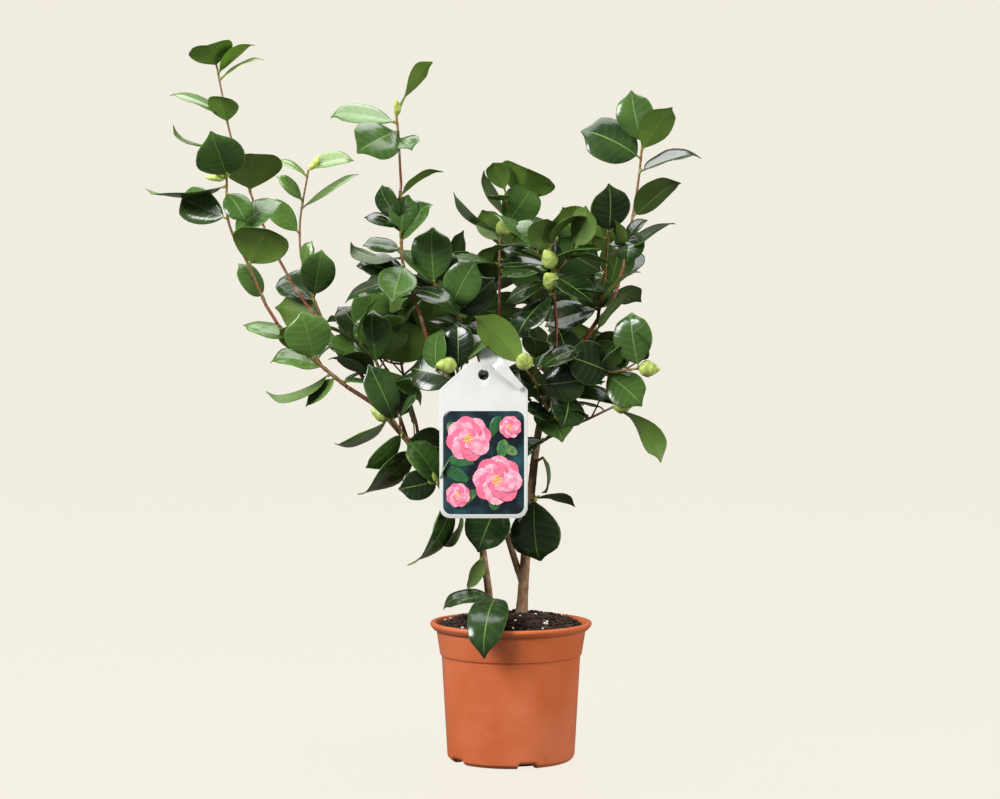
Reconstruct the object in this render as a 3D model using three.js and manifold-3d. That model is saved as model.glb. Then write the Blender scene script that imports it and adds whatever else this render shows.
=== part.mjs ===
// A camellia shrub in a round nursery pot, with a hang label. Millimetres, +Z up.
// The origin is the centre of the pot's flat underside, and -Y is the front.
import * as THREE from "three";
import { mergeVertices } from "three/addons/utils/BufferGeometryUtils.js";
import Module from "manifold-3d";

const wasm = await Module();
wasm.setup();

// The pot, from its chamfered foot to its flared lip. It tapers, with one step under the collar.
const POT = {
  footRadius: 61.5, footChamfer: 3.5, stepRadius: 67, collarRadius: 68.4, stepRise: 1,
  neckRadius: 72, lipOverhang: 2, lipRise: 1.2, lipRadius: 78, lipFlareZ: 130.5, lipEase: 0.8,
  stepZ: 100.5, neckZ: 124.8, height: 133, wall: 1.8, floor: 3, segments: 48,
  notches: 5, notchWidth: 18, notchHeight: 5, notchDepth: 9, notchTurn: 0.7,
};
// The compost stands a little above the lip round the stems and falls to the wall.
const SOIL = {
  top: 138, crownRadius: 40, shoulderRadius: 58, shoulderZ: 133, edgeZ: 127, gap: 0.4, segments: 32,
};
// The hang label: a thin card with tapered shoulders and a round hole, and its looped strap.
const LABEL = {
  width: 83, height: 147, thickness: 0.9, corner: 10, neck: 26, shoulder: 26, hole: 5, holeDrop: 12,
  centreX: -26, y: -58, bottomZ: 237, curveSegments: 5,
};
// The strap runs back from the top of the card, round a bough, and lies down over one shoulder.
const STRAP = {
  width: 16, thickness: 0.7, steps: 48, flat: 0.05, upright: 0.28,
  points: [
    [-20, -57.55, 376], [-22, -56, 388], [-30, -34, 400], [-42, -6, 402], [-47, 9, 401], [-38, 18, 401],
    [-28, 10, 401], [-27, -6, 401], [-22, -34, 398], [-14, -56, 387], [-5, -61, 374], [10, -60, 359],
  ],
};
// The gap between pieces, the smallest detail kept, and how far pieces may run into each other.
const CLEARANCE = 0.4;
const SLIVER = 0.2;
const FINE_SLIVER = 0.01;
const OVERLAP = { leafInLimb: 0.01, twigInLimb: 30, leafInLeaf: 12 };
// A leaf: petiole, then an oval blade folded up along its midrib and drooping towards a point.
// Its outline gives shares of its length and half its width.
const LEAF = { length: 54, width: 0.68, thickness: 1.3, fold: 0.22, bend: 0.55, sides: 4 };
const LEAF_OUTLINE = [[0, 0], [0, 0.055], [0.34, 0.94], [0.72, 0.84], [1, 0]];
const FLOWER_BUD = { length: 21, radius: 7.2, sides: 6 };
const FLOWER_BUD_OUTLINE = [[0, 0], [0.12, 0.2], [0.45, 0.94], [0.72, 0.86], [1, 0]];
const LEAF_BUD = { length: 20, radius: 3.5, sides: 4 };
const LEAF_BUD_OUTLINE = [[0, 0], [0.4, 1], [1, 0]];
// How far each leaf may differ from the plan: shares of its sizes, and turns in radians.
const VARY = { size: 0.08, width: 0.1, bend: 0.6, fold: 0.6, roll: 0.3, lean: 0.2 };
const LETTER = { large: 1.2, small: 0.72, slender: 0.72, broad: 1.25, young: 0.85, droop: 2.2, lean: 0.45 };
const OUTWARD_TILT = 0.45;
const NODE_STEP = 7;
// Limbs: sides of their section, length of one step along them, and how fast a root flare fades.
const LIMB = { stemSides: 8, sides: 6, step: 24, flareFade: 28, radii: [1.5, 1.1] };
const MASS_STEM_SIDES = 5;
// Seeded side twigs: their places and lengths as shares, and the leaves round them.
const TWIG = {
  radius: 1.2, tipRadius: 0.8, sides: 3, steps: 4, first: 0.15, spanned: 0.75, spread: 1.33, tipSpread: 0.2,
  shortest: 0.5, longer: 0.25, tipLength: 0.35, lift: 0.3, leaves: 5, tipLeaves: 4,
};
const TWIG_LEAF = { spanned: 0.75, crowding: 1.2, angle: 0.95, endAngle: 0.35, lift: 0.2 };
const GOLDEN_ANGLE = Math.PI * (3 - Math.sqrt(5));
const LEAF_SPIRAL = THREE.MathUtils.degToRad(144);
// Each leaf or bud may be tried in a few ways, as hours turned and lean: the first is as planned.
const TRIES = [
  [0, 0], [0.3, 0.2], [-0.3, 0.2], [0.2, -0.3], [-0.3, -0.3], [0.5, 0.5], [-0.6, 0.5], [0.9, -0.5],
];
const LOOKS = {
  pot: { color: 0xc4602f, roughness: 0.45 },
  soil: { color: 0x2e2019, roughness: 1 },
  label: { color: 0xf4f3ef, roughness: 0.35 },
  bark: { color: 0x7d5a44, roughness: 0.8 },
  leaf: { color: 0x2c5428, roughness: 0.35 },
};

// Stems and boughs, each one tapering limb. It starts on another limb, at a share of its length,
// or at a point of its own, and bends through the few points given.
const LIMBS = {
  main_stem: {
    start: [10, 20, 130], points: [[17, 16, 230], [27, 12, 318], [37, 12, 344]],
    radii: [5.4, 3.2], flare: 3.6,
  },
  left_stem: {
    start: [-19, 6, 130], points: [[-24, 0, 179], [-36, -11, 236], [-71, -13, 275], [-117, -10, 328]],
    radii: [3.8, 2.5], flare: 1.6,
  },
  centre_stem: {
    on: "main_stem", at: 0.16, points: [[-4, 21, 216], [-13, 23, 258], [-23, 28, 336]], radii: [3.3, 2.3],
  },
  left_bough: { on: "left_stem", at: 1, points: [[-131, -20, 343], [-156, -30, 360]], radii: [2.3, 2] },
  left_link: { on: "left_low", at: 1, points: [[-224, -54, 427], [-230, -57, 437]], radii: [1.6, 1.5] },
  upper_left_bough: {
    on: "left_stem", at: 0.97, points: [[-157, 22, 387], [-204, 38, 445], [-233, 48, 494], [-254, 52, 543]],
    radii: [2.1, 1.2],
  },
  centre_left_bough: {
    on: "left_stem", at: 0.88, points: [[-109, -2, 335], [-119, 2, 356]], radii: [1.8, 1.6],
  },
  high_bough: {
    on: "centre_stem", at: 0.55, points: [[-40, 10, 317], [-66, -6, 366], [-91, -23, 440]],
    radii: [2.2, 1.6],
  },
  high_link: { on: "mid_high", at: 1, points: [[-104, -41, 551], [-105, -42, 571]], radii: [1.3, 1.2] },
  centre_bough: { on: "centre_stem", at: 1, points: [[-28, 12, 375], [-37, 2, 406]], radii: [2.1, 1.6] },
  rear_bough: {
    on: "centre_stem", at: 0.97, points: [[-17, 46, 374], [-12, 62, 424], [-11, 70, 464]], radii: [1.8, 1.4],
  },
  front_bough: { on: "centre_stem", at: 0.72, points: [[-30, -10, 327], [-43, -45, 355]], radii: [1.8, 1.4] },
  back_left_bough: {
    on: "centre_stem", at: 0.8, points: [[-33, 58, 343], [-42, 84, 376]], radii: [1.9, 1.4],
  },
  far_left_bough: { on: "left_stem", at: 0.8, points: [[-92, 20, 322], [-102, 48, 352]], radii: [1.8, 1.4] },
  back_right_bough: { on: "main_stem", at: 0.85, points: [[37, 54, 349], [48, 80, 388]], radii: [1.9, 1.4] },
  right_bough: {
    on: "main_stem", at: 1, points: [[51, 12, 358], [64, 15, 391], [84, 18, 424]], radii: [2.9, 2.1],
  },
  right_link: { on: "right_bough", at: 0.97, points: [[98, 26, 440], [109, 32, 473]], radii: [1.8, 1.5] },
  centre_right_bough: {
    on: "main_stem", at: 0.98, points: [[39, -12, 373], [43, -30, 409], [41, -42, 442]], radii: [2, 1.5],
  },
};

// Masses of foliage. Each has a stem that grows on from a limb, and leaves along it from the tip down.
// Where the leaves stand clear in the front view, each is the hour on a clock face that it points to,
// then letters: f shows its face, u its underside, n its edge (two of them: half way between),
// t leans to the front, a leans away,
// s small, l large, w slender, b broad, d drooping, y young and light.
// A capital is a bud: B a flower bud, P a leaf bud.
// Each bar is a bare stretch. Where there are no hours, the seeded rule below grows side twigs.
const MASSES = {
  base_leaves: {
    on: "left_stem", at: 0.1, seed: 129,
    points: [[-13, -14, 152], [-12, -32, 157]],
    leaves: "6.6ttdlllww 8.8ldw",
  },
  low_stem_leaf: {
    on: "left_stem", at: 0.22, seed: 4,
    points: [[-29, -9, 196]],
    leaves: "6.4uns",
  },
  low_centre: {
    on: "centre_stem", at: 0.42, seed: 5,
    points: [[-12, 8, 246], [-11, 2, 250]],
    leaves: "6.8ftdl 8.6a",
  },
  low_right: {
    on: "main_stem", at: 0.55, seed: 6,
    points: [[23, 0, 252], [23, -7, 254]],
    leaves: "5.9fld 3.4ns 5.2ans",
  },
  stem_leaf: {
    on: "main_stem", at: 0.72, seed: 31,
    points: [[31, 2, 291]],
    leaves: "5.7ns",
  },
  low_left: {
    on: "left_stem", at: 0.5, seed: 7,
    points: [[-58, -27, 252], [-66, -31, 264], [-69, -33, 271]],
    leaves: "9.2B 8.6fts 10.8 | 6.6n 7.4nflldw | 6.8nd 2.7",
  },
  mid_left: {
    on: "left_stem", at: 0.76, seed: 8,
    points: [[-100, -25, 312], [-112, -30, 328], [-115, -30, 332]],
    leaves: "9.6B 8nl 11.2flw | 7.5nfw 2.8f | 7.6nfllw 4.2 12.8",
  },
  left_low: {
    on: "left_bough", at: 1, seed: 9, radii: [1.9, 1.6],
    points: [[-176, -38, 377], [-200, -46, 398], [-220, -52, 420]],
    leaves: "9.6s || 9.6 || 10.5uts 11.6ftb | 9.35 8.35nl 7.6s 3.2",
  },
  left_tip: {
    on: "left_link", at: 1, seed: 10, radii: [1.5, 1],
    points: [[-246, -66, 476], [-263, -73, 514], [-264, -78, 555]],
    leaves: "12Ptt 9.9Pt 9.3Pt 11.6fttl 8.9nll 4.8fts || 10.1fwl | 1.8 ||| 1uttb ||| 10.9s",
  },
  top_left: {
    on: "upper_left_bough", at: 1, seed: 11, radii: [1.1, 0.9],
    points: [[-275, 58, 601], [-285, 61, 648], [-290, 62, 674]],
    leaves: "11.4uttsbb 1.7ny 2.1y || 9.8l 11.6uttsb | 9.45nll ||| 12.4uttllb",
  },
  inner_left: {
    on: "upper_left_bough", at: 0.45, seed: 12, radii: [1.3, 0.9],
    points: [[-204, 58, 472], [-209, 68, 518], [-201, 74, 573]],
    leaves: "1.2P 2.3y 10sy || 10.6s 1.9nl || 10.5fw ||| 0.6ss ||| 12.4ft 10 | 9.2fl 8.7ul",
  },
  centre_left: {
    on: "centre_left_bough", at: 1, seed: 13,
    points: [[-129, 10, 380], [-142, 18, 404]],
    leaves: "12.3f 10.8 2.8ul 1.3f 9.5 | 11.8f 4.2 7ut 5.5f 2.9",
  },
  upper_mid: {
    on: "centre_bough", at: 1, seed: 16,
    points: [[-54, -6, 429], [-66, -12, 448], [-73, -17, 458]],
    leaves: "11.9f 10.2l 1.4a | 9.8l 12.6f 1.6f | 10l 3 8.8",
  },
  mid_high: {
    on: "high_bough", at: 1, seed: 14, radii: [1.5, 1.3],
    points: [[-102, -32, 475], [-104, -36, 499], [-105, -40, 544]],
    leaves: "| 1.95nw |||| 11fns 9.6s 0.3fs 1.2 9.3s 9.4n 6.5ftt | 9.8 8.5l 3.2 2.2a",
  },
  top_centre: {
    on: "high_link", at: 1, seed: 15, radii: [1.2, 1],
    points: [[-106, -44, 594], [-108, -45, 615]],
    leaves: "12Pt 1nlw 9.3lw 7.9fttl 4.3ftts",
  },
  centre_top: {
    on: "rear_bough", at: 1, seed: 17,
    points: [[-10, 72, 504], [-3, 72, 524], [10, 72, 543]],
    leaves: "0.4uttbb 1.6s 4.2l | 11n 12.9f 0.3Btt 10.3nl | 11us 3.8 | 3.7f 9.2 2.4",
  },
  front_right: {
    on: "main_stem", at: 0.93, seed: 19,
    points: [[24, -42, 362], [11, -68, 380]],
    leaves: "11.9Btt 10.6ulw | 2.8f 9.6a | 1.5 4.5t 3a",
  },
  centre_front: {
    on: "front_bough", at: 1, seed: 18,
    points: [[-48, -49, 366], [-52, -52, 381]],
    leaves: "9Bt 8utts 11.8f 9.2f 1.2s",
  },
  right_inner: {
    on: "right_bough", at: 1, seed: 20,
    points: [[87, 0, 446], [90, -18, 473], [92, -34, 506]],
    leaves: "0.5P 12ft 9.6ul 2.6s | 10fl 9.2 | 1.6n 8.4 11.4",
  },
  right_tip: {
    on: "right_link", at: 1, seed: 21, radii: [1.5, 1],
    points: [[115, 38, 502], [124, 43, 553], [129, 46, 596]],
    leaves: "11.6f 1.1unt 9.9fl | 2.4l |||||| 1.7unl 6.2fsb ||| 1.75 ||",
  },
  centre_right: {
    on: "centre_right_bough", at: 1, seed: 22,
    points: [[38, -48, 473], [36, -52, 498]],
    leaves: "12Bt 1.6nl 1.1n 10.4 2.6 11.2Bt 9.1 4.2t 8.2 11.2Bt | 3.1 7.4t",
  },
  centre_low: {
    on: "main_stem", at: 0.97, seed: 28,
    points: [[46, -8, 352], [54, -18, 354]],
    leaves: "6.3ftt 3.1 8.8 11.5f",
  },
  right_low: {
    on: "right_bough", at: 0.35, seed: 23,
    points: [[76, -14, 369], [96, -36, 374], [120, -54, 378]],
    leaves: "3.1B 11.7f | 9.7ft 4.3ft | 2.2 8.4 11.4",
  },
  lower_right: {
    on: "main_stem", at: 0.8, seed: 24,
    points: [[47, -6, 317], [71, -20, 328], [97, -32, 341]],
    leaves: "2.6B 4.6nllw 3 10.4 | 8.4a 1.6",
  },
  back_low: {
    on: "main_stem", at: 0.88, seed: 25,
    points: [[48, 28, 335], [58, 40, 352]],
    twigs: 3, reach: 90,
  },
  back_far_left: {
    on: "far_left_bough", at: 1, seed: 29,
    points: [[-108, 64, 378], [-111, 74, 396]],
    twigs: 3, reach: 70,
  },
  back_left: {
    on: "back_left_bough", at: 1, seed: 26,
    points: [[-48, 100, 404], [-52, 112, 432]],
    twigs: 4, reach: 80,
  },
  back_right: {
    on: "back_right_bough", at: 1, seed: 27,
    points: [[54, 96, 420], [57, 108, 454]],
    twigs: 4, reach: 85,
  },
};

// A number from 0 to 1 that is the same on every run: the fraction of a large sine.
function random(seed, index) {
  const wave = Math.sin(seed * 127.1 + index * 311.7) * 43758.5453;
  return wave - Math.floor(wave);
}

// The same between -1 and 1.
function swing(seed, index) {
  return 2 * random(seed, index) - 1;
}

function vector(list) {
  return new THREE.Vector3(...list);
}

// The part of one direction that is square to another, at unit length.
function squareTo(direction, axis) {
  return direction.clone().addScaledVector(axis, -direction.dot(axis)).normalize();
}

// A smooth curve through points.
function curveThrough(points) {
  return new THREE.CatmullRomCurve3(points, false, "catmullrom", 0.5);
}

// A geometry as a solid: only positions, shared vertices merged, collapsed faces dropped.
function solid(geometry) {
  const bare = geometry.clone();
  bare.deleteAttribute("normal");
  bare.deleteAttribute("uv");
  const merged = mergeVertices(bare, 1e-3);
  const index = merged.index.array;
  const kept = [];
  for (let i = 0; i < index.length; i += 3) {
    const [a, b, c] = index.slice(i, i + 3);
    if (a !== b && b !== c && c !== a) kept.push(a, b, c);
  }
  const made = new wasm.Manifold(new wasm.Mesh({
    numProp: 3,
    vertProperties: new Float32Array(merged.attributes.position.array),
    triVerts: new Uint32Array(kept),
  }));
  return made.volume() < 0 ? solid(reversed(geometry)) : made;
}

// The geometry with its faces turned to point the other way.
function reversed(geometry) {
  const turned = geometry.toNonIndexed();
  const at = turned.attributes.position.array;
  for (let i = 0; i < at.length; i += 9)
    for (let k = 0; k < 3; k++) [at[i + k], at[i + 3 + k]] = [at[i + 3 + k], at[i + k]];
  return turned;
}

// A solid as a geometry.
function geometryOf(made) {
  const mesh = made.getMesh();
  const at = new Float32Array(mesh.numVert * 3);
  for (let i = 0; i < mesh.numVert; i++)
    at.set(mesh.vertProperties.subarray(i * mesh.numProp, i * mesh.numProp + 3), i * 3);
  return new THREE.BufferGeometry()
    .setAttribute("position", new THREE.BufferAttribute(at, 3))
    .setIndex(new THREE.BufferAttribute(mesh.triVerts, 1));
}

// Moves every vertex of a geometry by a function of its place.
function reshape(geometry, move) {
  const at = geometry.attributes.position;
  const point = new THREE.Vector3();
  for (let i = 0; i < at.count; i++) {
    point.fromBufferAttribute(at, i);
    const moved = move(point);
    at.setXYZ(i, moved.x, moved.y, moved.z);
  }
  return geometry;
}

// A tapering round limb: an upright cylinder whose rings are carried along the curve.
function tube(curve, radiusAt, sides, steps, extra = 0) {
  const frames = curve.computeFrenetFrames(steps, false);
  const shape = new THREE.CylinderGeometry(1, 1, 1, sides, steps);
  return reshape(shape, (p) => {
    const share = p.y + 0.5;
    const ring = Math.round(share * steps);
    const radius = radiusAt(share) + extra;
    const end = ring === 0 ? -extra : ring === steps ? extra : 0;
    return curve.getPointAt(share)
      .addScaledVector(frames.tangents[ring], end)
      .addScaledVector(frames.normals[ring], p.x * radius)
      .addScaledVector(frames.binormals[ring], p.z * radius);
  });
}

// A lathe of a few sides, its outline given as pairs of way along and radius, both as shares.
function lathe(outline, sides) {
  return new THREE.LatheGeometry(outline.map(([along, out]) => new THREE.Vector2(out, along)), sides);
}

// A leaf: a four-sided lathe, flattened to a blade. Its midrib is an arc that starts above the
// chord by half the bend and ends below it, and its sides rise from the midrib by the fold.
function leafSolid(leaf) {
  const { base, chord, face, length, width, bend, fold } = leaf;
  const side = new THREE.Vector3().crossVectors(face, chord);
  const shape = lathe(LEAF_OUTLINE, LEAF.sides);
  return solid(reshape(shape, (p) => {
    const angle = bend / 2 - bend * p.y;
    const along = (Math.sin(bend / 2) - Math.sin(angle)) / bend;
    const rise = (Math.cos(angle) - Math.cos(bend / 2)) / bend;
    const up = face.clone().multiplyScalar(Math.cos(angle)).addScaledVector(chord, -Math.sin(angle));
    const out = Math.abs(p.x) < 1e-6 ? 0 : p.x;
    const half = Math.abs(p.z) < 1e-6 ? 0 : Math.sign(p.z) * LEAF.thickness / 2;
    return base.clone()
      .addScaledVector(chord, along * length)
      .addScaledVector(face, rise * length)
      .addScaledVector(side, out * width / 2)
      .addScaledVector(up, Math.abs(out) * width / 2 * fold + half);
  }));
}

// A bud: a lathe stood on its base along a direction.
function budSolid(base, direction, size, outline) {
  const turn = new THREE.Quaternion().setFromUnitVectors(new THREE.Vector3(0, 1, 0), direction);
  const shape = lathe(outline, size.sides);
  return solid(reshape(shape, (p) =>
    new THREE.Vector3(p.x * size.radius, p.y * size.length, p.z * size.radius)
      .applyQuaternion(turn).add(base)));
}

// The stem line of a limb or a mass, worked out from where it starts.
const curves = {};
function curveOf(name) {
  if (!curves[name]) {
    const plan = LIMBS[name] ?? MASSES[name];
    const start = plan.start ? vector(plan.start) : curveOf(plan.on).getPointAt(plan.at);
    curves[name] = curveThrough([start, ...plan.points.map(vector)]);
  }
  return curves[name];
}

// The radius of a limb at a share of its length: a straight taper, and a root flare that fades fast.
function limbRadius(plan) {
  const [thick, thin] = plan.radii ?? LIMB.radii;
  const flare = plan.flare ?? 0;
  return (share) => thick + (thin - thick) * share + flare * Math.exp(-share * LIMB.flareFade);
}

function limbSolid(name, sides, extra) {
  const curve = curveOf(name);
  const steps = Math.max(2, Math.round(curve.getLength() / LIMB.step));
  return solid(tube(curve, limbRadius(LIMBS[name] ?? MASSES[name]), sides, steps, extra));
}

// The hour codes of a mass as a list of leaves and buds, each with its share of the stem.
function codedPlaces(plan, length) {
  const codes = plan.leaves.split(" ");
  const bars = codes.join("").split("|").length - 1;
  const leaves = codes.filter((code) => !/[|BP]/.test(code)).length;
  const step = Math.min(NODE_STEP, length / leaves);
  const bare = Math.max(0, length - leaves * step) / Math.max(1, bars);
  const places = [];
  let gone = 0;
  for (const code of codes) {
    if (code.startsWith("|")) {
      gone += bare * code.length;
      continue;
    }
    const [, hour, letters] = code.match(/^([\d.]+)(\w*)$/);
    places.push({ hour: Number(hour), letters, share: Math.max(0.02, 1 - gone / length) });
    if (!/[BP]/.test(letters)) gone += step;
  }
  return places;
}

function countOf(letter, text) {
  return text.split(letter).length - 1;
}

// A direction in the front view by the hour it points to, leaning towards the front.
function hourDirection(hour, lean) {
  const angle = (hour * Math.PI) / 6;
  const flat = Math.cos(lean);
  return new THREE.Vector3(Math.sin(angle) * flat, -Math.sin(lean), Math.cos(angle) * flat);
}

// The upper side of a leaf: up and a little outwards, or turned to or from the front.
function leafFace(chord, outward, letters, roll) {
  const wanted = new THREE.Vector3();
  if (letters.includes("f")) wanted.add(new THREE.Vector3(0, -1, 0.15));
  if (letters.includes("u")) wanted.add(new THREE.Vector3(0, 1, 0.25));
  if (letters.includes("n")) wanted.add(new THREE.Vector3().crossVectors(chord, new THREE.Vector3(0, 1, 0)));
  if (wanted.lengthSq() === 0) wanted.set(0, 0, 1).addScaledVector(outward, OUTWARD_TILT);
  return squareTo(wanted, chord).applyAxisAngle(chord, roll);
}

// A leaf's plan: its place, its size by its letters, and its own small differences.
function leafAt(base, chord, face, letters, seed, index) {
  const size = LETTER.large ** countOf("l", letters) * LETTER.small ** countOf("s", letters)
    * (1 + VARY.size * swing(seed, index + 3));
  const across = LETTER.slender ** countOf("w", letters) * LETTER.broad ** countOf("b", letters);
  const young = letters.includes("y") ? LETTER.young : 1;
  const droop = letters.includes("d") ? LETTER.droop : 1;
  const length = LEAF.length * size;
  return {
    kind: "leaf", base, chord, face, length,
    width: length * LEAF.width * across * young * (1 + VARY.width * swing(seed, index + 4)),
    bend: LEAF.bend * droop * (1 + VARY.bend * swing(seed, index + 5)),
    fold: LEAF.fold * (1 + VARY.fold * swing(seed, index + 6)),
  };
}

// The ways to place the leaves and buds of a coded mass.
function codedLeaves(name) {
  const plan = MASSES[name];
  const curve = curveOf(name);
  return codedPlaces(plan, curve.getLength()).map(({ hour, letters, share }, count) => {
    const index = count * 10;
    const base = curve.getPointAt(share);
    const lean = VARY.lean * swing(plan.seed, index)
      + LETTER.lean * (countOf("t", letters) - countOf("a", letters));
    const roll = VARY.roll * swing(plan.seed, index + 1);
    return TRIES.map(([hours, leaning]) => {
      const chord = hourDirection(hour + hours, lean + leaning);
      if (letters.includes("B")) return { kind: "flower", base, chord };
      if (letters.includes("P")) return { kind: "tip", base, chord };
      const face = leafFace(chord, new THREE.Vector3(0, -1, 0), letters, roll);
      return leafAt(base, chord, face, letters, plan.seed, index);
    });
  });
}

// The seeded rule: side twigs spiral up the stem by the golden angle, bow upwards, and carry leaves
// that spiral round them by two fifths of a turn, closer together towards the tip.
function seededTwigs(name) {
  const plan = MASSES[name];
  const stem = curveOf(name);
  const twigs = [];
  for (let k = 0; k <= plan.twigs; k++) {
    const seed = plan.seed * 10 + k;
    const isTip = k === plan.twigs;
    const share = isTip ? 1 : TWIG.first + (TWIG.spanned * k) / plan.twigs;
    const start = stem.getPointAt(share);
    const along = stem.getTangentAt(share);
    const turn = plan.seed + k * GOLDEN_ANGLE;
    const round = squareTo(new THREE.Vector3(Math.cos(turn), Math.sin(turn), 0.1), along);
    const heading = along.clone().addScaledVector(round, isTip ? TWIG.tipSpread : TWIG.spread).normalize();
    const length = plan.reach * (isTip ? TWIG.tipLength : TWIG.shortest + TWIG.longer * random(seed, 1));
    const middle = start.clone().addScaledVector(heading, length / 2);
    const end = start.clone().addScaledVector(heading, length);
    end.z += length * TWIG.lift;
    const curve = curveThrough([start, middle, end]);
    twigs.push({ curve, leaves: twigLeaves(curve, seed, isTip ? TWIG.tipLeaves : TWIG.leaves) });
  }
  return twigs;
}

function twigLeaves(curve, seed, count) {
  const places = [];
  for (let n = 0; n < count; n++) {
    const share = 1 - TWIG_LEAF.spanned * (n / count) ** TWIG_LEAF.crowding;
    const base = curve.getPointAt(share);
    const along = curve.getTangentAt(share);
    const outward = new THREE.Vector3(base.x, base.y, 0).normalize();
    places.push(TRIES.map(([turned, leaning]) => {
      const angle = seed + n * LEAF_SPIRAL + turned * 2;
      const round = squareTo(new THREE.Vector3(Math.cos(angle), Math.sin(angle), TWIG_LEAF.lift), along);
      const open = n === 0 ? TWIG_LEAF.endAngle : TWIG_LEAF.angle + leaning / 2;
      const chord = along.clone().multiplyScalar(Math.cos(open)).addScaledVector(round, Math.sin(open));
      const face = leafFace(chord, outward, "", VARY.roll * swing(seed, n * 10 + 1));
      return leafAt(base, chord, face, "", seed, n * 10);
    }));
  }
  return places;
}

// A piece to be fused on, made from its plan.
function pieceSolid(piece) {
  if (piece.kind === "leaf") return leafSolid(piece);
  if (piece.kind === "flower") return budSolid(piece.base, piece.chord, FLOWER_BUD, FLOWER_BUD_OUTLINE);
  return budSolid(piece.base, piece.chord, LEAF_BUD, LEAF_BUD_OUTLINE);
}

function boxesMeet(a, b, gap = 0) {
  const [p, q] = [a.boundingBox(), b.boundingBox()];
  return [0, 1, 2].every((i) => p.min[i] < q.max[i] + gap && q.min[i] < p.max[i] + gap);
}

// Whether a solid comes nearer than the clearance to any of the others.
function crowded(made, others) {
  return others.some((other) =>
    boxesMeet(made, other, CLEARANCE) && made.minGap(other, 2 * CLEARANCE) < CLEARANCE);
}

// Whether a solid runs into any of the others by more than a volume.
function runsInto(made, others, volume) {
  return others.some((other) => boxesMeet(made, other) && made.intersect(other).volume() > volume);
}

// The solid cut clear of every other that it meets.
function cutClear(made, others) {
  return others.reduce((left, other) => (boxesMeet(left, other) ? left.subtract(other) : left), made);
}

// The largest body of a solid once its vertices are merged, without loose scraps and sealed hollows.
function mainBody(made, smallest = SLIVER) {
  let body = made.asOriginal().simplify(smallest);
  for (let round = 0; round < 2; round++) {
    const bodies = solid(geometryOf(body)).decompose();
    body = bodies.sort((a, b) => b.volume() - a.volume())[0];
  }
  return body;
}

// An upright lathe from its profile of radius and height.
function upright(profile, segments) {
  const shape = new THREE.LatheGeometry(profile.map(([r, z]) => new THREE.Vector2(r, z)), segments);
  return shape.rotateX(Math.PI / 2);
}

// The pot: one closed lathe profile, up the outside and down the inside, with notches in its foot.
function potSolid() {
  const { footRadius, footChamfer, stepRadius, collarRadius, neckRadius, lipRadius } = POT;
  const { stepRise, lipOverhang, lipRise, lipFlareZ, lipEase, stepZ, neckZ, height, wall, floor } = POT;
  const outside = [
    [0, 0], [footRadius - footChamfer, 0], [footRadius, footChamfer], [stepRadius, stepZ],
    [collarRadius, stepZ + stepRise], [neckRadius, neckZ], [neckRadius + lipOverhang, neckZ + lipRise],
    [lipRadius, lipFlareZ], [lipRadius, height - lipEase], [lipRadius - lipEase, height],
  ];
  const inside = [
    [neckRadius + lipEase, height], [neckRadius - wall, neckZ - lipRise], [collarRadius - wall, stepZ],
    [footRadius - wall, floor], [0, floor],
  ];
  const notches = [];
  for (let k = 0; k < POT.notches; k++) {
    const notch = new THREE.BoxGeometry(POT.notchWidth, POT.notchDepth * 2, POT.notchHeight * 2);
    notch.translate(0, footRadius, 0);
    notch.rotateZ(((k + POT.notchTurn) * 2 * Math.PI) / POT.notches);
    notches.push(solid(notch));
  }
  return cutClear(solid(upright([...outside, ...inside], POT.segments)), notches);
}

// The compost: a lathe that fills the pot and heaps up a little round the stems.
function soilSolid(extra) {
  const { wall, floor, footRadius, stepZ, collarRadius, neckRadius, neckZ, lipRise } = POT;
  const inner = (radius) => radius - wall - SOIL.gap;
  return solid(upright([
    [0, floor + SOIL.gap], [inner(footRadius), floor + SOIL.gap], [inner(collarRadius) - SOIL.gap, stepZ],
    [inner(neckRadius), neckZ - lipRise], [inner(neckRadius), SOIL.edgeZ + extra],
    [SOIL.shoulderRadius, SOIL.shoulderZ + extra], [SOIL.crownRadius, SOIL.top + extra],
    [0, SOIL.top + extra],
  ], SOIL.segments));
}

// The label: the card, a rounded sheet with tapered shoulders and a hole near its top, and its strap.
function labelSolid() {
  const { width, height, corner, neck, shoulder, thickness, hole, holeDrop, curveSegments } = LABEL;
  const half = width / 2;
  const card = new THREE.Shape();
  card.moveTo(-half + corner, 0);
  card.lineTo(half - corner, 0);
  card.absarc(half - corner, corner, corner, -Math.PI / 2, 0);
  card.lineTo(half, height - shoulder);
  card.lineTo(neck / 2, height);
  card.lineTo(-neck / 2, height);
  card.lineTo(-half, height - shoulder);
  card.absarc(-half + corner, corner, corner, Math.PI, 1.5 * Math.PI);
  const punched = new THREE.Path();
  punched.absarc(0, height - holeDrop, hole, 0, 2 * Math.PI, true);
  card.holes.push(punched);
  const shape = new THREE.ExtrudeGeometry(card, { depth: thickness, bevelEnabled: false, curveSegments });
  shape.rotateX(Math.PI / 2);
  shape.translate(LABEL.centreX, LABEL.y + thickness, LABEL.bottomZ);
  return mainBody(solid(shape).add(strapSolid()), FINE_SLIVER);
}

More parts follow.
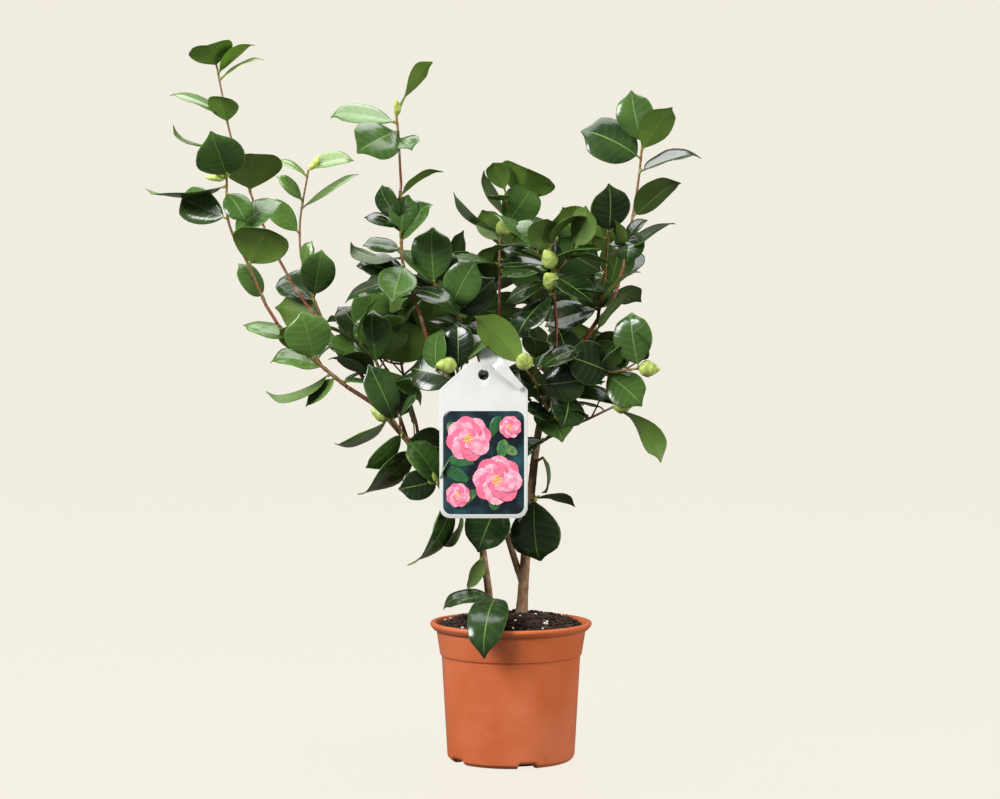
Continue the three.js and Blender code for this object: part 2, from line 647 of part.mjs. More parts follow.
// The strap: a thin bar bent along its path. Its width lies along X on the card and turns upright
// round the bough.
function strapSolid() {
  const { width, thickness, steps, flat, upright: turned, points } = STRAP;
  const path = curveThrough(points.map(vector));
  const shape = new THREE.BoxGeometry(1, 1, 1, steps, 1, 1);
  return solid(reshape(shape, (p) => {
    const share = p.x + 0.5;
    const along = path.getTangentAt(share);
    const turn = THREE.MathUtils.smoothstep(Math.min(share, 1 - share), flat, turned) * Math.PI / 2;
    const across = squareTo(new THREE.Vector3(Math.cos(turn), 0, Math.sin(turn)), along);
    const through = new THREE.Vector3().crossVectors(along, across);
    return path.getPointAt(share)
      .addScaledVector(across, p.y * width)
      .addScaledVector(through, p.z * thickness);
  }));
}

// What is made first keeps its place, and each later solid is cut or skipped clear of it.
const nodes = {
  pot: { made: potSolid(), look: "pot" },
  soil: { made: soilSolid(0), clear: soilSolid(CLEARANCE), look: "soil" },
  hang_label: { made: labelSolid(), look: "label" },
};
const fixtures = Object.values(nodes).map((node) => node.made);
const clears = () => Object.values(nodes).filter((node) => node.clear).map((node) => node.clear);

// Limbs in order, each cut clear of the limb that it grows from.
for (const name of Object.keys(LIMBS)) {
  const sides = name.endsWith("stem") ? LIMB.stemSides : LIMB.sides;
  const made = mainBody(cutClear(limbSolid(name, sides), clears()));
  nodes[name] = { made, clear: limbSolid(name, sides, CLEARANCE), look: "bark" };
}

// A mass: the stem, its side twigs, then every leaf and bud that has room.
function massSolid(name, stem, limbs, others) {
  const plan = MASSES[name];
  const parts = [stem];
  const placed = [];
  const wanted = plan.leaves ? codedLeaves(name) : [];
  for (const twig of plan.twigs ? seededTwigs(name) : []) {
    const radiusAt = (share) => TWIG.radius + (TWIG.tipRadius - TWIG.radius) * share;
    const made = solid(tube(twig.curve, radiusAt, TWIG.sides, TWIG.steps));
    if (crowded(made, others) || runsInto(made, limbs, OVERLAP.twigInLimb)) continue;
    parts.push(made);
    placed.push(made);
    wanted.push(...twig.leaves);
  }
  for (const ways of wanted) {
    const chosen = ways.map(pieceSolid).find((made) => !crowded(made, others)
      && !runsInto(made, limbs, OVERLAP.leafInLimb) && !runsInto(made, placed, OVERLAP.leafInLeaf));
    if (!chosen) continue;
    parts.push(chosen);
    placed.push(chosen);
  }
  return mainBody(cutClear(wasm.Manifold.union(parts), limbs));
}

// Masses in order, each clear of the limbs, of the masses made before it and of the other stems.
const limbClears = clears();
const massNames = Object.keys(MASSES);
const stems = Object.fromEntries(massNames.map((name) => [name, limbSolid(name, MASS_STEM_SIDES)]));
for (const name of massNames) {
  const rest = massNames.filter((other) => other !== name);
  const others = rest.map((other) => nodes[other]?.made ?? stems[other]);
  nodes[name] = { made: massSolid(name, stems[name], limbClears, [...fixtures, ...others]), look: "leaf" };
}

const shrub = new THREE.Group();
for (const [name, node] of Object.entries(nodes)) {
  const material = new THREE.MeshStandardMaterial({ ...LOOKS[node.look], metalness: 0 });
  const mesh = new THREE.Mesh(geometryOf(node.made), material);
  mesh.name = name;
  shrub.add(mesh);
}

export default shrub;
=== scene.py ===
"""A young camellia shrub in its nursery pot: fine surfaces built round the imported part.

The stems, twigs and leaves grow by the rule of the part's own source, written again here. A leaf or bud
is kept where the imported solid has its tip. Growth is worked out in the source's millimetres, and every
mesh is stored in metres.
"""
import itertools
import math
import re
from collections import namedtuple

import bpy
import numpy as np
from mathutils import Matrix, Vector


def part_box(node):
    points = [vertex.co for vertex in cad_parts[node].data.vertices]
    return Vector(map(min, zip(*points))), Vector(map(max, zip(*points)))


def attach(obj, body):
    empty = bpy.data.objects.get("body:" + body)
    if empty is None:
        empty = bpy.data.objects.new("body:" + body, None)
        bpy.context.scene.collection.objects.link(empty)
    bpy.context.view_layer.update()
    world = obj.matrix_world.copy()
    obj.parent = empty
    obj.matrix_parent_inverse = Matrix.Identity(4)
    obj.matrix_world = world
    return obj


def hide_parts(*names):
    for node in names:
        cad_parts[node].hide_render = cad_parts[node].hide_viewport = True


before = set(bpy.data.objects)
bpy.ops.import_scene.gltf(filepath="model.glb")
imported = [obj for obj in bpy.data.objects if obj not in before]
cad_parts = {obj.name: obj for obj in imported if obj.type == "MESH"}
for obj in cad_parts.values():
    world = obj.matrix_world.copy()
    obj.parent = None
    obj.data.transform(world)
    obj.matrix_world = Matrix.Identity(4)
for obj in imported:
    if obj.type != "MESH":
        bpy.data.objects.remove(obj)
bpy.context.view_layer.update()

bl_info = {
    "name": "Potted Camellia",
    "version": (1, 0, 0),
    "blender": (4, 5, 0),
    "location": "3D View > Sidebar > Camellia",
    "description": "Builds the leaves, stems, buds, compost, pot and label of a potted camellia shrub",
    "category": "Add Mesh",
}

MM = 0.001
GOLDEN_ANGLE = math.pi * (3 - math.sqrt(5))
LEAF_SPIRAL = math.radians(144)
BLACK = (0, 0, 0)
FRONT = (0, -1, 0)
# Least length that is divided by, least slope at which a ray meets a side, and how near x counts as along.
TINY, NEARLY_SQUARE, ALONG_X = 1e-12, 1e-6, 0.8
# What the seeded draws are made with: a step for the seed, one for the draw, and a large factor.
CHANCE_STEPS = (127.1, 311.7, 43758.5453)
# Short steps in which a curve's length is measured, and the share over which its direction is read.
CURVE_STEPS, TANGENT_STEP = 200, 1e-4

# The growth plan, in millimetres: the same names, places and codes as in the part's source.
CAD_LEAF = {"length": 54, "width": 0.68, "fold": 0.22, "bend": 0.55}
BUDS = {
    "flower": {"length": 21, "radius": 7.2, "scales": 9},
    "tip": {"length": 20, "radius": 3.5, "scales": 5},
}
VARY = {"size": 0.08, "width": 0.1, "bend": 0.6, "fold": 0.6, "roll": 0.3, "lean": 0.2}
LETTER = {
    "large": 1.2, "small": 0.72, "slender": 0.72, "broad": 1.25, "young": 0.85, "droop": 2.2, "lean": 0.45,
}
FACES = {"f": (0, -1, 0.15), "u": (0, 1, 0.25)}
OUTWARD_TILT = 0.45
NODE_STEP = 7
LOWEST_SHARE = 0.02
FLARE_FADE = 28
# How many draws a leaf, a mass's seed and a twig's seed each keep to themselves.
LEAF_DRAWS, SEED_DRAWS, TWIG_SEEDS = 10, 1000, 10
TWIG = {
    "radius": 1.2, "tip_radius": 0.8, "first": 0.15, "spanned": 0.75, "spread": 1.33, "tip_spread": 0.2,
    "shortest": 0.5, "longer": 0.25, "tip_length": 0.35, "lift": 0.3, "upright": 0.1, "leaves": 5,
    "tip_leaves": 4,
}
TWIG_LEAF = {"spanned": 0.75, "crowding": 1.2, "angle": 0.95, "end_angle": 0.35, "lift": 0.2, "turns": 2}
# The ways in which a leaf may be tried: how many hours on, and how much further towards the front.
TRIES = [(0, 0), (0.3, 0.2), (-0.3, 0.2), (0.2, -0.3), (-0.3, -0.3), (0.5, 0.5), (-0.6, 0.5), (0.9, -0.5)]

# A limb grows on another at a share of its length, or starts at a point of its own. A mass is a stem with
# the codes of its leaves, or with a number of seeded twigs and their reach.
Limb = namedtuple("Limb", "on at points radii start flare", defaults=(None, 0))
Mass = namedtuple("Mass", "on at seed points leaves twigs reach radii", defaults=("", 0, 0, (1.5, 1.1)))

LIMBS = {
    "main_stem": Limb(
        None, 0, [(17, 16, 230), (27, 12, 318), (37, 12, 344)], (5.4, 3.2), start=(10, 20, 130),
        flare=3.6,
    ),
    "left_stem": Limb(
        None, 0, [(-24, 0, 179), (-36, -11, 236), (-71, -13, 275), (-117, -10, 328)], (3.8, 2.5),
        start=(-19, 6, 130), flare=1.6,
    ),
    "centre_stem": Limb("main_stem", 0.16, [(-4, 21, 216), (-13, 23, 258), (-23, 28, 336)], (3.3, 2.3)),
    "left_bough": Limb("left_stem", 1, [(-131, -20, 343), (-156, -30, 360)], (2.3, 2)),
    "left_link": Limb("left_low", 1, [(-224, -54, 427), (-230, -57, 437)], (1.6, 1.5)),
    "upper_left_bough": Limb(
        "left_stem", 0.97, [(-157, 22, 387), (-204, 38, 445), (-233, 48, 494), (-254, 52, 543)],
        (2.1, 1.2),
    ),
    "centre_left_bough": Limb("left_stem", 0.88, [(-109, -2, 335), (-119, 2, 356)], (1.8, 1.6)),
    "high_bough": Limb("centre_stem", 0.55, [(-40, 10, 317), (-66, -6, 366), (-91, -23, 440)], (2.2, 1.6)),
    "high_link": Limb("mid_high", 1, [(-104, -41, 551), (-105, -42, 571)], (1.3, 1.2)),
    "centre_bough": Limb("centre_stem", 1, [(-28, 12, 375), (-37, 2, 406)], (2.1, 1.6)),
    "rear_bough": Limb("centre_stem", 0.97, [(-17, 46, 374), (-12, 62, 424), (-11, 70, 464)], (1.8, 1.4)),
    "front_bough": Limb("centre_stem", 0.72, [(-30, -10, 327), (-43, -45, 355)], (1.8, 1.4)),
    "back_left_bough": Limb("centre_stem", 0.8, [(-33, 58, 343), (-42, 84, 376)], (1.9, 1.4)),
    "far_left_bough": Limb("left_stem", 0.8, [(-92, 20, 322), (-102, 48, 352)], (1.8, 1.4)),
    "back_right_bough": Limb("main_stem", 0.85, [(37, 54, 349), (48, 80, 388)], (1.9, 1.4)),
    "right_bough": Limb("main_stem", 1, [(51, 12, 358), (64, 15, 391), (84, 18, 424)], (2.9, 2.1)),
    "right_link": Limb("right_bough", 0.97, [(98, 26, 440), (109, 32, 473)], (1.8, 1.5)),
    "centre_right_bough": Limb(
        "main_stem", 0.98, [(39, -12, 373), (43, -30, 409), (41, -42, 442)], (2, 1.5),
    ),
}

# Masses: leaves from the tip down, each the hour it points to and its letters, as in the source:
# f face, u underside, n edge, t to the front, a away, s small, l large, w slender, b broad, d drooping,
# y young, B and P buds.
MASSES = {
    "base_leaves": Mass("left_stem", 0.1, 129, [(-13, -14, 152), (-12, -32, 157)], "6.6ttdlllww 8.8ldw"),
    "low_stem_leaf": Mass("left_stem", 0.22, 4, [(-29, -9, 196)], "6.4uns"),
    "low_centre": Mass("centre_stem", 0.42, 5, [(-12, 8, 246), (-11, 2, 250)], "6.8ftdl 8.6a"),
    "low_right": Mass("main_stem", 0.55, 6, [(23, 0, 252), (23, -7, 254)], "5.9fld 3.4ns 5.2ans"),
    "stem_leaf": Mass("main_stem", 0.72, 31, [(31, 2, 291)], "5.7ns"),
    "low_left": Mass(
        "left_stem", 0.5, 7, [(-58, -27, 252), (-66, -31, 264), (-69, -33, 271)],
        "9.2B 8.6fts 10.8 | 6.6n 7.4nflldw | 6.8nd 2.7",
    ),
    "mid_left": Mass(
        "left_stem", 0.76, 8, [(-100, -25, 312), (-112, -30, 328), (-115, -30, 332)],
        "9.6B 8nl 11.2flw | 7.5nfw 2.8f | 7.6nfllw 4.2 12.8",
    ),
    "left_low": Mass(
        "left_bough", 1, 9, [(-176, -38, 377), (-200, -46, 398), (-220, -52, 420)],
        "9.6s || 9.6 || 10.5uts 11.6ftb | 9.35 8.35nl 7.6s 3.2", radii=(1.9, 1.6),
    ),
    "left_tip": Mass(
        "left_link", 1, 10, [(-246, -66, 476), (-263, -73, 514), (-264, -78, 555)],
        "12Ptt 9.9Pt 9.3Pt 11.6fttl 8.9nll 4.8fts || 10.1fwl | 1.8 ||| 1uttb ||| 10.9s", radii=(1.5, 1),
    ),
    "top_left": Mass(
        "upper_left_bough", 1, 11, [(-275, 58, 601), (-285, 61, 648), (-290, 62, 674)],
        "11.4uttsbb 1.7ny 2.1y || 9.8l 11.6uttsb | 9.45nll ||| 12.4uttllb", radii=(1.1, 0.9),
    ),
    "inner_left": Mass(
        "upper_left_bough", 0.45, 12, [(-204, 58, 472), (-209, 68, 518), (-201, 74, 573)],
        "1.2P 2.3y 10sy || 10.6s 1.9nl || 10.5fw ||| 0.6ss ||| 12.4ft 10 | 9.2fl 8.7ul", radii=(1.3, 0.9),
    ),
    "centre_left": Mass(
        "centre_left_bough", 1, 13, [(-129, 10, 380), (-142, 18, 404)],
        "12.3f 10.8 2.8ul 1.3f 9.5 | 11.8f 4.2 7ut 5.5f 2.9",
    ),
    "upper_mid": Mass(
        "centre_bough", 1, 16, [(-54, -6, 429), (-66, -12, 448), (-73, -17, 458)],
        "11.9f 10.2l 1.4a | 9.8l 12.6f 1.6f | 10l 3 8.8",
    ),
    "mid_high": Mass(
        "high_bough", 1, 14, [(-102, -32, 475), (-104, -36, 499), (-105, -40, 544)],
        "| 1.95nw |||| 11fns 9.6s 0.3fs 1.2 9.3s 9.4n 6.5ftt | 9.8 8.5l 3.2 2.2a", radii=(1.5, 1.3),
    ),
    "top_centre": Mass(
        "high_link", 1, 15, [(-106, -44, 594), (-108, -45, 615)], "12Pt 1nlw 9.3lw 7.9fttl 4.3ftts",
        radii=(1.2, 1),
    ),
    "centre_top": Mass(
        "rear_bough", 1, 17, [(-10, 72, 504), (-3, 72, 524), (10, 72, 543)],
        "0.4uttbb 1.6s 4.2l | 11n 12.9f 0.3Btt 10.3nl | 11us 3.8 | 3.7f 9.2 2.4",
    ),
    "front_right": Mass(
        "main_stem", 0.93, 19, [(24, -42, 362), (11, -68, 380)],
        "11.9Btt 10.6ulw | 2.8f 9.6a | 1.5 4.5t 3a",
    ),
    "centre_front": Mass(
        "front_bough", 1, 18, [(-48, -49, 366), (-52, -52, 381)], "9Bt 8utts 11.8f 9.2f 1.2s",
    ),
    "right_inner": Mass(
        "right_bough", 1, 20, [(87, 0, 446), (90, -18, 473), (92, -34, 506)],
        "0.5P 12ft 9.6ul 2.6s | 10fl 9.2 | 1.6n 8.4 11.4",
    ),
    "right_tip": Mass(
        "right_link", 1, 21, [(115, 38, 502), (124, 43, 553), (129, 46, 596)],
        "11.6f 1.1unt 9.9fl | 2.4l |||||| 1.7unl 6.2fsb ||| 1.75 ||", radii=(1.5, 1),
    ),
    "centre_right": Mass(
        "centre_right_bough", 1, 22, [(38, -48, 473), (36, -52, 498)],
        "12Bt 1.6nl 1.1n 10.4 2.6 11.2Bt 9.1 4.2t 8.2 11.2Bt | 3.1 7.4t",
    ),
    "centre_low": Mass("main_stem", 0.97, 28, [(46, -8, 352), (54, -18, 354)], "6.3ftt 3.1 8.8 11.5f"),
    "right_low": Mass(
        "right_bough", 0.35, 23, [(76, -14, 369), (96, -36, 374), (120, -54, 378)],
        "3.1B 11.7f | 9.7ft 4.3ft | 2.2 8.4 11.4",
    ),
    "lower_right": Mass(
        "main_stem", 0.8, 24, [(47, -6, 317), (71, -20, 328), (97, -32, 341)],
        "2.6B 4.6nllw 3 10.4 | 8.4a 1.6",
    ),
    "back_low": Mass("main_stem", 0.88, 25, [(48, 28, 335), (58, 40, 352)], twigs=3, reach=90),
    "back_far_left": Mass("far_left_bough", 1, 29, [(-108, 64, 378), (-111, 74, 396)], twigs=3, reach=70),
    "back_left": Mass("back_left_bough", 1, 26, [(-48, 100, 404), (-52, 112, 432)], twigs=4, reach=80),
    "back_right": Mass("back_right_bough", 1, 27, [(54, 96, 420), (57, 108, 454)], twigs=4, reach=85),
}

# Finer growth inside a mass: how many thin twigs, the leaves on each, and their size beside a full leaf.
FINER_DEFAULT = (2, 2, 0.62)
FINER = {
    **dict.fromkeys(["centre_front", "centre_left", "upper_mid", "centre_right"], (4, 3, 0.85)),
    **dict.fromkeys(["back_left", "back_right", "back_far_left"], (4, 3, 0.8)),
    **dict.fromkeys(["front_right", "centre_low"], (3, 3, 0.85)),
    **dict.fromkeys(["right_low", "back_low"], (3, 3, 0.8)),
    "lower_right": (2, 3, 0.75),
    **dict.fromkeys(["low_stem_leaf", "base_leaves", "top_left", "low_centre", "low_right", "stem_leaf",
                     "mid_high", "left_tip", "inner_left", "right_tip", "top_centre"], (0, 0, 1)),
}
FINER_TWIG = {
    "highest": 0.95, "spanned": 0.85, "length": 26, "shortest": 0.7, "longer": 0.6, "forward": 0.8,
    "lift": 0.4, "rise": 0.15, "radii": (0.9, 0.6), "spare": 0.05, "over": 3, "leaf_gap": 5, "stem_gap": 2.5,
    "seeds": 50,
}
# Where a leaf is sampled for its clearance: shares of its length, and of its width from the midrib.
LEAF_SAMPLES = {"along": (0.3, 0.55, 0.8), "across": (-0.35, 0, 0.35)}
LIMB_SAMPLES = 40
# The crown's shaded middle: leaves nearer to it than the even share of its reach are given darker tones, as
# painted shade, and leaves further out lighter tones, as painted light.
CROWN = {"middle": np.array([60, 0, 390]), "reach": 220, "even": 0.8, "shade": 0.72, "draw": 77}
# Tones from dark to light: besides their own random differences, the darker ones carry painted shade and the
# lightest one painted light.
TONE_LIMITS = {"shade": 0.22, "deep": 0.45, "green": 0.88, "bright": math.inf}
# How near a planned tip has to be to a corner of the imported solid.
NEAREST_TIP = 1.0

# A leaf's rows along it, and the ring of places across it: over the top, then back along the underside.
LEAF_ROWS = np.array([0, 0.04, 0.08, 0.11, 0.14, 0.18, 0.23, 0.3, 0.38, 0.47, 0.56, 0.65, 0.73, 0.79, 0.84,
                      0.885, 0.925, 0.96, 0.985, 1])
LEAF_RING = np.array([-1, -0.95, -0.5, -0.03, 0.03, 0.5, 0.95, 1, 0.95, 0.48, 0.04, -0.04, -0.48, -0.95])
# The places of the ring that lie on the upper side.
LEAF_ABOVE = np.arange(len(LEAF_RING)) < 8
# A leaf's finishes, and which of them each step of the ring has.
LEAF_KINDS = ["blade", "rib", "margin", "underside", "petiole"]
LEAF_STEP_KINDS = [2, 0, 0, 1, 0, 0, 2, 3, 3, 3, 1, 3, 3, 3]
PETIOLE = 0.09
PETIOLE_RADIUS = 0.95
# What differs from leaf to leaf: the middle value, and how far single leaves lie from it.
LEAF_TRAITS = {
    "curl": (0.45, 0.35), "bow": (0, 0.22), "twist": (0, 0.3), "belly": (1.0, 0.1), "recurve": (0.08, 0.08),
    "ripple": (0.035, 0.02), "waves": (1.6, 0.4), "phase": (0, 0.5), "roundness": (0.62, 0.1),
}
TRAIT_DRAW, TINT_DRAW = 40, 60
# The rest of a leaf's form: shares of its length or half width, and radians for the edge-on twist.
LEAF_FORM = {
    "curl_from": 0.72, "bow_middle": 0.4, "twist_middle": 0.3, "edge_twist": 1.3, "fullness": 1.03,
    "drawn": 0.62, "drawn_from": 0.76, "drawn_to": 0.97, "stalk_end": 1.05, "round_to": 0.6, "flat_from": 1.5,
    "fold_soft": 0.008, "fold_low": 0.09, "rim": 0.07, "side_lag": 0.2, "rib_above": -0.25, "rib_below": 0.75,
    "rib_half": 0.1, "vein_slant": 1.1,
}
VEIN_PAIRS = 7
# A bud's spindle, and its scales: where their edges lie, how far these fall away, and how thick they are.
BUD_FORM = {
    "rows": 22, "ring": 24, "foot": 0.02, "end": 0.995, "low": 0.85, "round": 0.75, "vary": 0.06,
    "bend": 0.06, "body": 0.93, "step": 0.035, "sunk": 0.02, "first_edge": 0.3, "edges": 0.66, "fall": 0.16,
    "fall_angle": 1.25, "scale_angle": 1.45, "rim": 0.2,
}
# The small bud in a leaf's axil: its size, its spindle, and how far it leans to the leaf's upper side.
AXIL_BUD = {
    "length": 4.5, "radius": 1.1, "lean": 0.75, "off": 0.8, "shortest": 0.8, "longer": 0.5, "low": 0.8,
    "foot": 0.06, "end": 0.98, "rows": 6,
}
# Bark: ridges by how many go round, old leaf scars a step apart, and swellings where leaves join a twig.
BARK = {
    "ridges": (3, 5, 8, 11), "slowest": 0.02, "faster": 0.05, "fade": 0.11, "lobes": 4, "lobe": 0.16,
    "scar_step": 17, "scar_width": 1.1, "scar": 0.1,
}
TWIG_SKIN = {"joint_width": 1.6, "joint": 0.3, "ripples": 3, "ripple": 0.04, "drift": 9}
# Rings of points round a limb, and the step between them.
LIMB_MESH = {"stem": (24, 1.6), "bough": (16, 2.2), "twig": (8, 2.5)}

# Sizes in millimetres: the pot, the compost, the card and the strap have those of the part's source.
POT = {
    "foot": 61.5, "step": 67, "collar": 68.4, "neck": 72, "lip": 78, "step_z": 100.5, "neck_z": 124.8,
    "flare_z": 130.5, "height": 133, "wall": 1.8, "notches": 5, "notch_width": 18, "notch_height": 5,
    "notch_depth": 9, "notch_turn": 0.7, "notch_reach": 2, "floor": 5, "edge": 0.9, "longest_span": 4,
}
# How near to its axis a turned body is closed.
POLE = 0.4
SOIL = {
    "edge": 69.8, "radii": (0, 40, 58, 69.8), "heights": (138, 137.5, 133.5, 126.5), "floor": 5.4, "gap": 0.4,
    "narrower": 4, "side_top": 125, "loose": (125.2, 127), "segments": 150, "rings": 60,
}
# Bumps of the compost as seed, count of waves and their shortest and longest length, and their heights.
BUMPS = {"coarse": (5, 14, 9, 26), "fine": (6, 18, 3.5, 8), "heights": (0.9, 0.55), "limits": (-1.8, 2.2)}
# What is strewn on the compost: how much longer than wide, how far it stands up, and its seed.
CRUMBS = {"stretch": 1.2, "rise": 0, "seed": 11}
CHIPS = {"count": 45, "size": 3.4, "stretch": 2.6, "rise": 0.3, "seed": 12}
GRAINS = {"count": 24, "size": 2.9, "stretch": 1.3, "rise": 1.2, "seed": 13}
LUMP = {
    "least": 0.75, "more": 0.5, "flat": 0.75, "smallest": 0.55, "larger": 0.9, "tilt": 0.7, "off_wall": 2.5,
    "clear": 0.2, "raised": 0.25, "seeds": 100, "corner_draw": 20,
}
LABEL = {
    "width": 83, "height": 147, "thickness": 0.9, "corner": 10, "neck": 26, "shoulder": 26, "hole": 5,
    "hole_drop": 12, "centre_x": -26, "y": -58, "bottom_z": 237, "bow": 1.4, "wave": 0.4, "wave_length": 30,
    "segments": 240, "rings": 18, "edge": 0.25,
}
STRAP = {
    "width": 16, "thickness": 0.7, "flat": 0.05, "upright": 0.28, "taper": 0.6, "taper_from": 0.78,
    "end": 0.012, "end_width": 0.55, "rows": 121, "ring": 24,
    "points": [
        (-20, -57.55, 376), (-22, -56, 388), (-30, -34, 400), (-42, -6, 402), (-47, 9, 401), (-38, 18, 401),
        (-28, 10, 401), (-27, -6, 401), (-22, -34, 398), (-14, -56, 387), (-5, -61, 374), (10, -60, 359),
    ],
}
# The printed picture, measured from the card's hole: leaves and flowers by place, turn and size.
PRINT = {
    "width": 76, "height": 97, "top": -34, "corner": 7.5, "thickness": 0.12, "stamens": 13, "stamen": 0.045,
    "stamens_reach": 0.2, "petal_rings": [(8, 1, 0.86), (7, 0.74, 0.72), (5, 0.46, 0.56)],
    "leaves": [
        (-14, -100, 152, 24, 13, 0), (-6, -110, 205, 26, 14, 1), (12, -110, 262, 18, 11, 0),
        (14, -92, 8, 20, 10, 1), (-20, -62, 128, 22, 12, 1), (6, -58, 62, 22, 12, 0),
        (16, -66, 332, 18, 9, 1), (-8, -82, 176, 26, 12, 0), (16, -80, 80, 20, 11, 1),
    ],
    "flowers": [(-14, -60, 22, 12), (13, -99, 24, 40), (25, -49, 11, 70), (-24, -113, 12, 25)],
}
PANEL = {"columns": 25, "rows": 26, "corner_rows": 8, "rows_in_corner": 3}
DOT = {"ring": 10, "middle": 0.1}
# A petal or printed leaf: where its rows and its widest place lie, its notch and how its sides fall back.
PETAL = {
    "rows": 20, "row_middle": 0.52, "row_reach": 0.48, "columns": 9, "foot": 0.03, "belly": 1.5,
    "notch": 0.05, "notch_width": 3, "fall": 0.06,
}

CAMERA = {"place": (-10.6, -2200, 409), "lens": 82.2, "sensor": 36, "tilt": 1.61}
STAGE = {
    "radius": 6000, "height": 5000, "curve": 2500, "curve_steps": 24, "gap": 0.3, "thickness": 80,
    "pole": 0.1, "segments": 96,
}
LIGHTS = {
    "key": {"place": (-1700, -1500, 1700), "aim": (-30, 0, 330), "size": 1400},
    "side": {"place": (1900, -900, 760), "aim": (-30, 0, 300), "size": 1200},
    "top": {"place": (-200, 500, 2400), "aim": (-30, 0, 400), "size": 2600},
}
MARKS = "marks"


def leaf_tone(leaf):
    """Which of the five tones a leaf has: young leaves are the lightest, leaves that show their underside
    take the light tone whose underside is painted as lit through, drooping ones are dark, and leaves near the
    crown's middle are the darkest, as painted shade, with leaves far from it lighter, as painted light."""
    letters = leaf["letters"]
    if "y" in letters:
        return "young"
    if "u" in letters and "n" not in letters:
        return "bright"
    if "d" in letters:
        return "deep"
    away = float(np.linalg.norm(leaf["base"] - CROWN["middle"])) / CROWN["reach"]
    # Painted shade and light: the draw is pushed darker near the crown's middle and lighter far from it.
    pick = chance(leaf["key"], CROWN["draw"]) + CROWN["shade"] * (away - CROWN["even"])
    return next(tone for tone, limit in TONE_LIMITS.items() if pick < limit)


def chance(seed, index):
    """Numbers from 0 to 1 that are the same on every run: the fraction of a large sine."""
    seed_step, index_step, factor = CHANCE_STEPS
    wave = np.sin(np.asarray(seed) * seed_step + np.asarray(index) * index_step) * factor
    return wave - np.floor(wave)


def swing(seed, index):
    """The same between -1 and 1."""
    return 2 * chance(seed, index) - 1


def unit(vector):
    vector = np.asarray(vector, float)
    return vector / np.maximum(np.linalg.norm(vector, axis=-1, keepdims=True), TINY)


def square_to(direction, axis):
    """The part of a direction that is square to a unit axis, at unit length."""
    direction = np.asarray(direction, float)
    return unit(direction - axis * np.sum(direction * axis, axis=-1, keepdims=True))


def any_side(direction):
    """A direction square to another: towards x, or towards y where the other runs along x."""
    return square_to([1, 0, 0] if abs(direction[0]) < ALONG_X else [0, 1, 0], direction)


def turned(vector, axis, angle):
    """A vector turned about a unit axis by the right-hand rule."""
    along = axis * np.dot(vector, axis)
    return vector * math.cos(angle) + np.cross(axis, vector) * math.sin(angle) + along * (1 - math.cos(angle))


def spun(first, second, angle):
    """Two coordinates of points, turned by an angle about the third."""
    return first * np.cos(angle) - second * np.sin(angle), first * np.sin(angle) + second * np.cos(angle)


def circle(count):
    """The angles of the points of a ring."""
    return np.linspace(0, 2 * np.pi, count, endpoint=False)


def stacked(*parts):
    """Several arrays as the last axis of one."""
    return np.stack(np.broadcast_arrays(*parts), axis=-1)


def swept(spine, across, upward, wide, deep):
    """Points beside a spine, each its two distances out along two directions that go with the spine."""
    spine, across, upward = (part[..., None, :] for part in (spine, across, upward))
    return spine + across * wide[..., None] + upward * deep[..., None]


def smoothstep(value, low, high):
    """A share from 0 to 1 that leaves the one and reaches the other gently."""
    share = np.clip((np.asarray(value, float) - low) / (high - low), 0, 1)
    return share * share * (3 - 2 * share)


class Curve:
    """A smooth curve through points: a uniform Catmull-Rom spline of tension one half, whose ends are
    carried on by their own last step. Shares of its length are read from many short steps."""

    def __init__(self, points):
        points = np.asarray(points, float)
        self.spans = len(points) - 1
        self.knots = np.vstack([2 * points[0] - points[1], points, 2 * points[-1] - points[-2]])
        self.marks = np.linspace(0, 1, CURVE_STEPS + 1)
        steps = np.linalg.norm(np.diff(self.at(self.marks), axis=0), axis=1)
        self.travelled = np.concatenate([[0], np.cumsum(steps)])
        self.length = self.travelled[-1]

    def at(self, mark):
        place = np.clip(np.asarray(mark, float), 0, 1) * self.spans
        span = np.minimum(place.astype(int), self.spans - 1)
        w = (place - span)[..., None]
        before, start, end, after = (self.knots[span + i] for i in range(4))
        leave, arrive = (end - before) / 2, (after - start) / 2
        return (start + leave * w + (3 * (end - start) - 2 * leave - arrive) * w ** 2
                + (2 * (start - end) + leave + arrive) * w ** 3)

    def mark(self, share):
        return np.interp(np.asarray(share, float) * self.length, self.travelled, self.marks)

    def point(self, share):
        return self.at(self.mark(share))

    def tangent(self, share):
        mark = self.mark(share)
        ahead, behind = np.minimum(mark + TANGENT_STEP, 1), np.maximum(mark - TANGENT_STEP, 0)
        return unit(self.at(ahead) - self.at(behind))


CURVES = {}


def curve_of(name):
    """The line of a limb or of a mass's stem, worked out from where it starts."""
    if name not in CURVES:
        plan = LIMBS.get(name) or MASSES[name]
        start = curve_of(plan.on).point(plan.at) if plan.on else plan.start
        CURVES[name] = Curve([start, *plan.points])
    return CURVES[name]


def bowed(start, heading, length, lift):
    """The line of a twig that sets off along a heading and rises by a share of its length."""
    end = start + heading * length + np.array([0, 0, length * lift])
    return Curve([start, start + heading * length / 2, end])


def coded_places(plan, length):
    """The codes of a mass as (hour, letters, share of the stem). A leaf takes one step, a bud none, and
    what is left of the stem is shared out among the bars."""
    codes = plan.leaves.split(" ")
    bars = "".join(codes).count("|")
    leaves = sum(not re.search(r"[|BP]", code) for code in codes)
    step = min(NODE_STEP, length / leaves)
    bare = max(0, length - leaves * step) / max(1, bars)
    gone = 0
    for code in codes:
        if code.startswith("|"):
            gone += bare * len(code)
            continue
        hour, letters = re.match(r"([\d.]+)(\w*)", code).groups()
        yield float(hour), letters, max(LOWEST_SHARE, 1 - gone / length)
        if not re.search(r"[BP]", letters):
            gone += step


def hour_direction(hour, lean):
    """A direction in the front view by the hour it points to, leaning towards the front."""
    angle = hour * math.pi / 6
    return np.array([math.sin(angle) * math.cos(lean), -math.sin(lean), math.cos(angle) * math.cos(lean)])


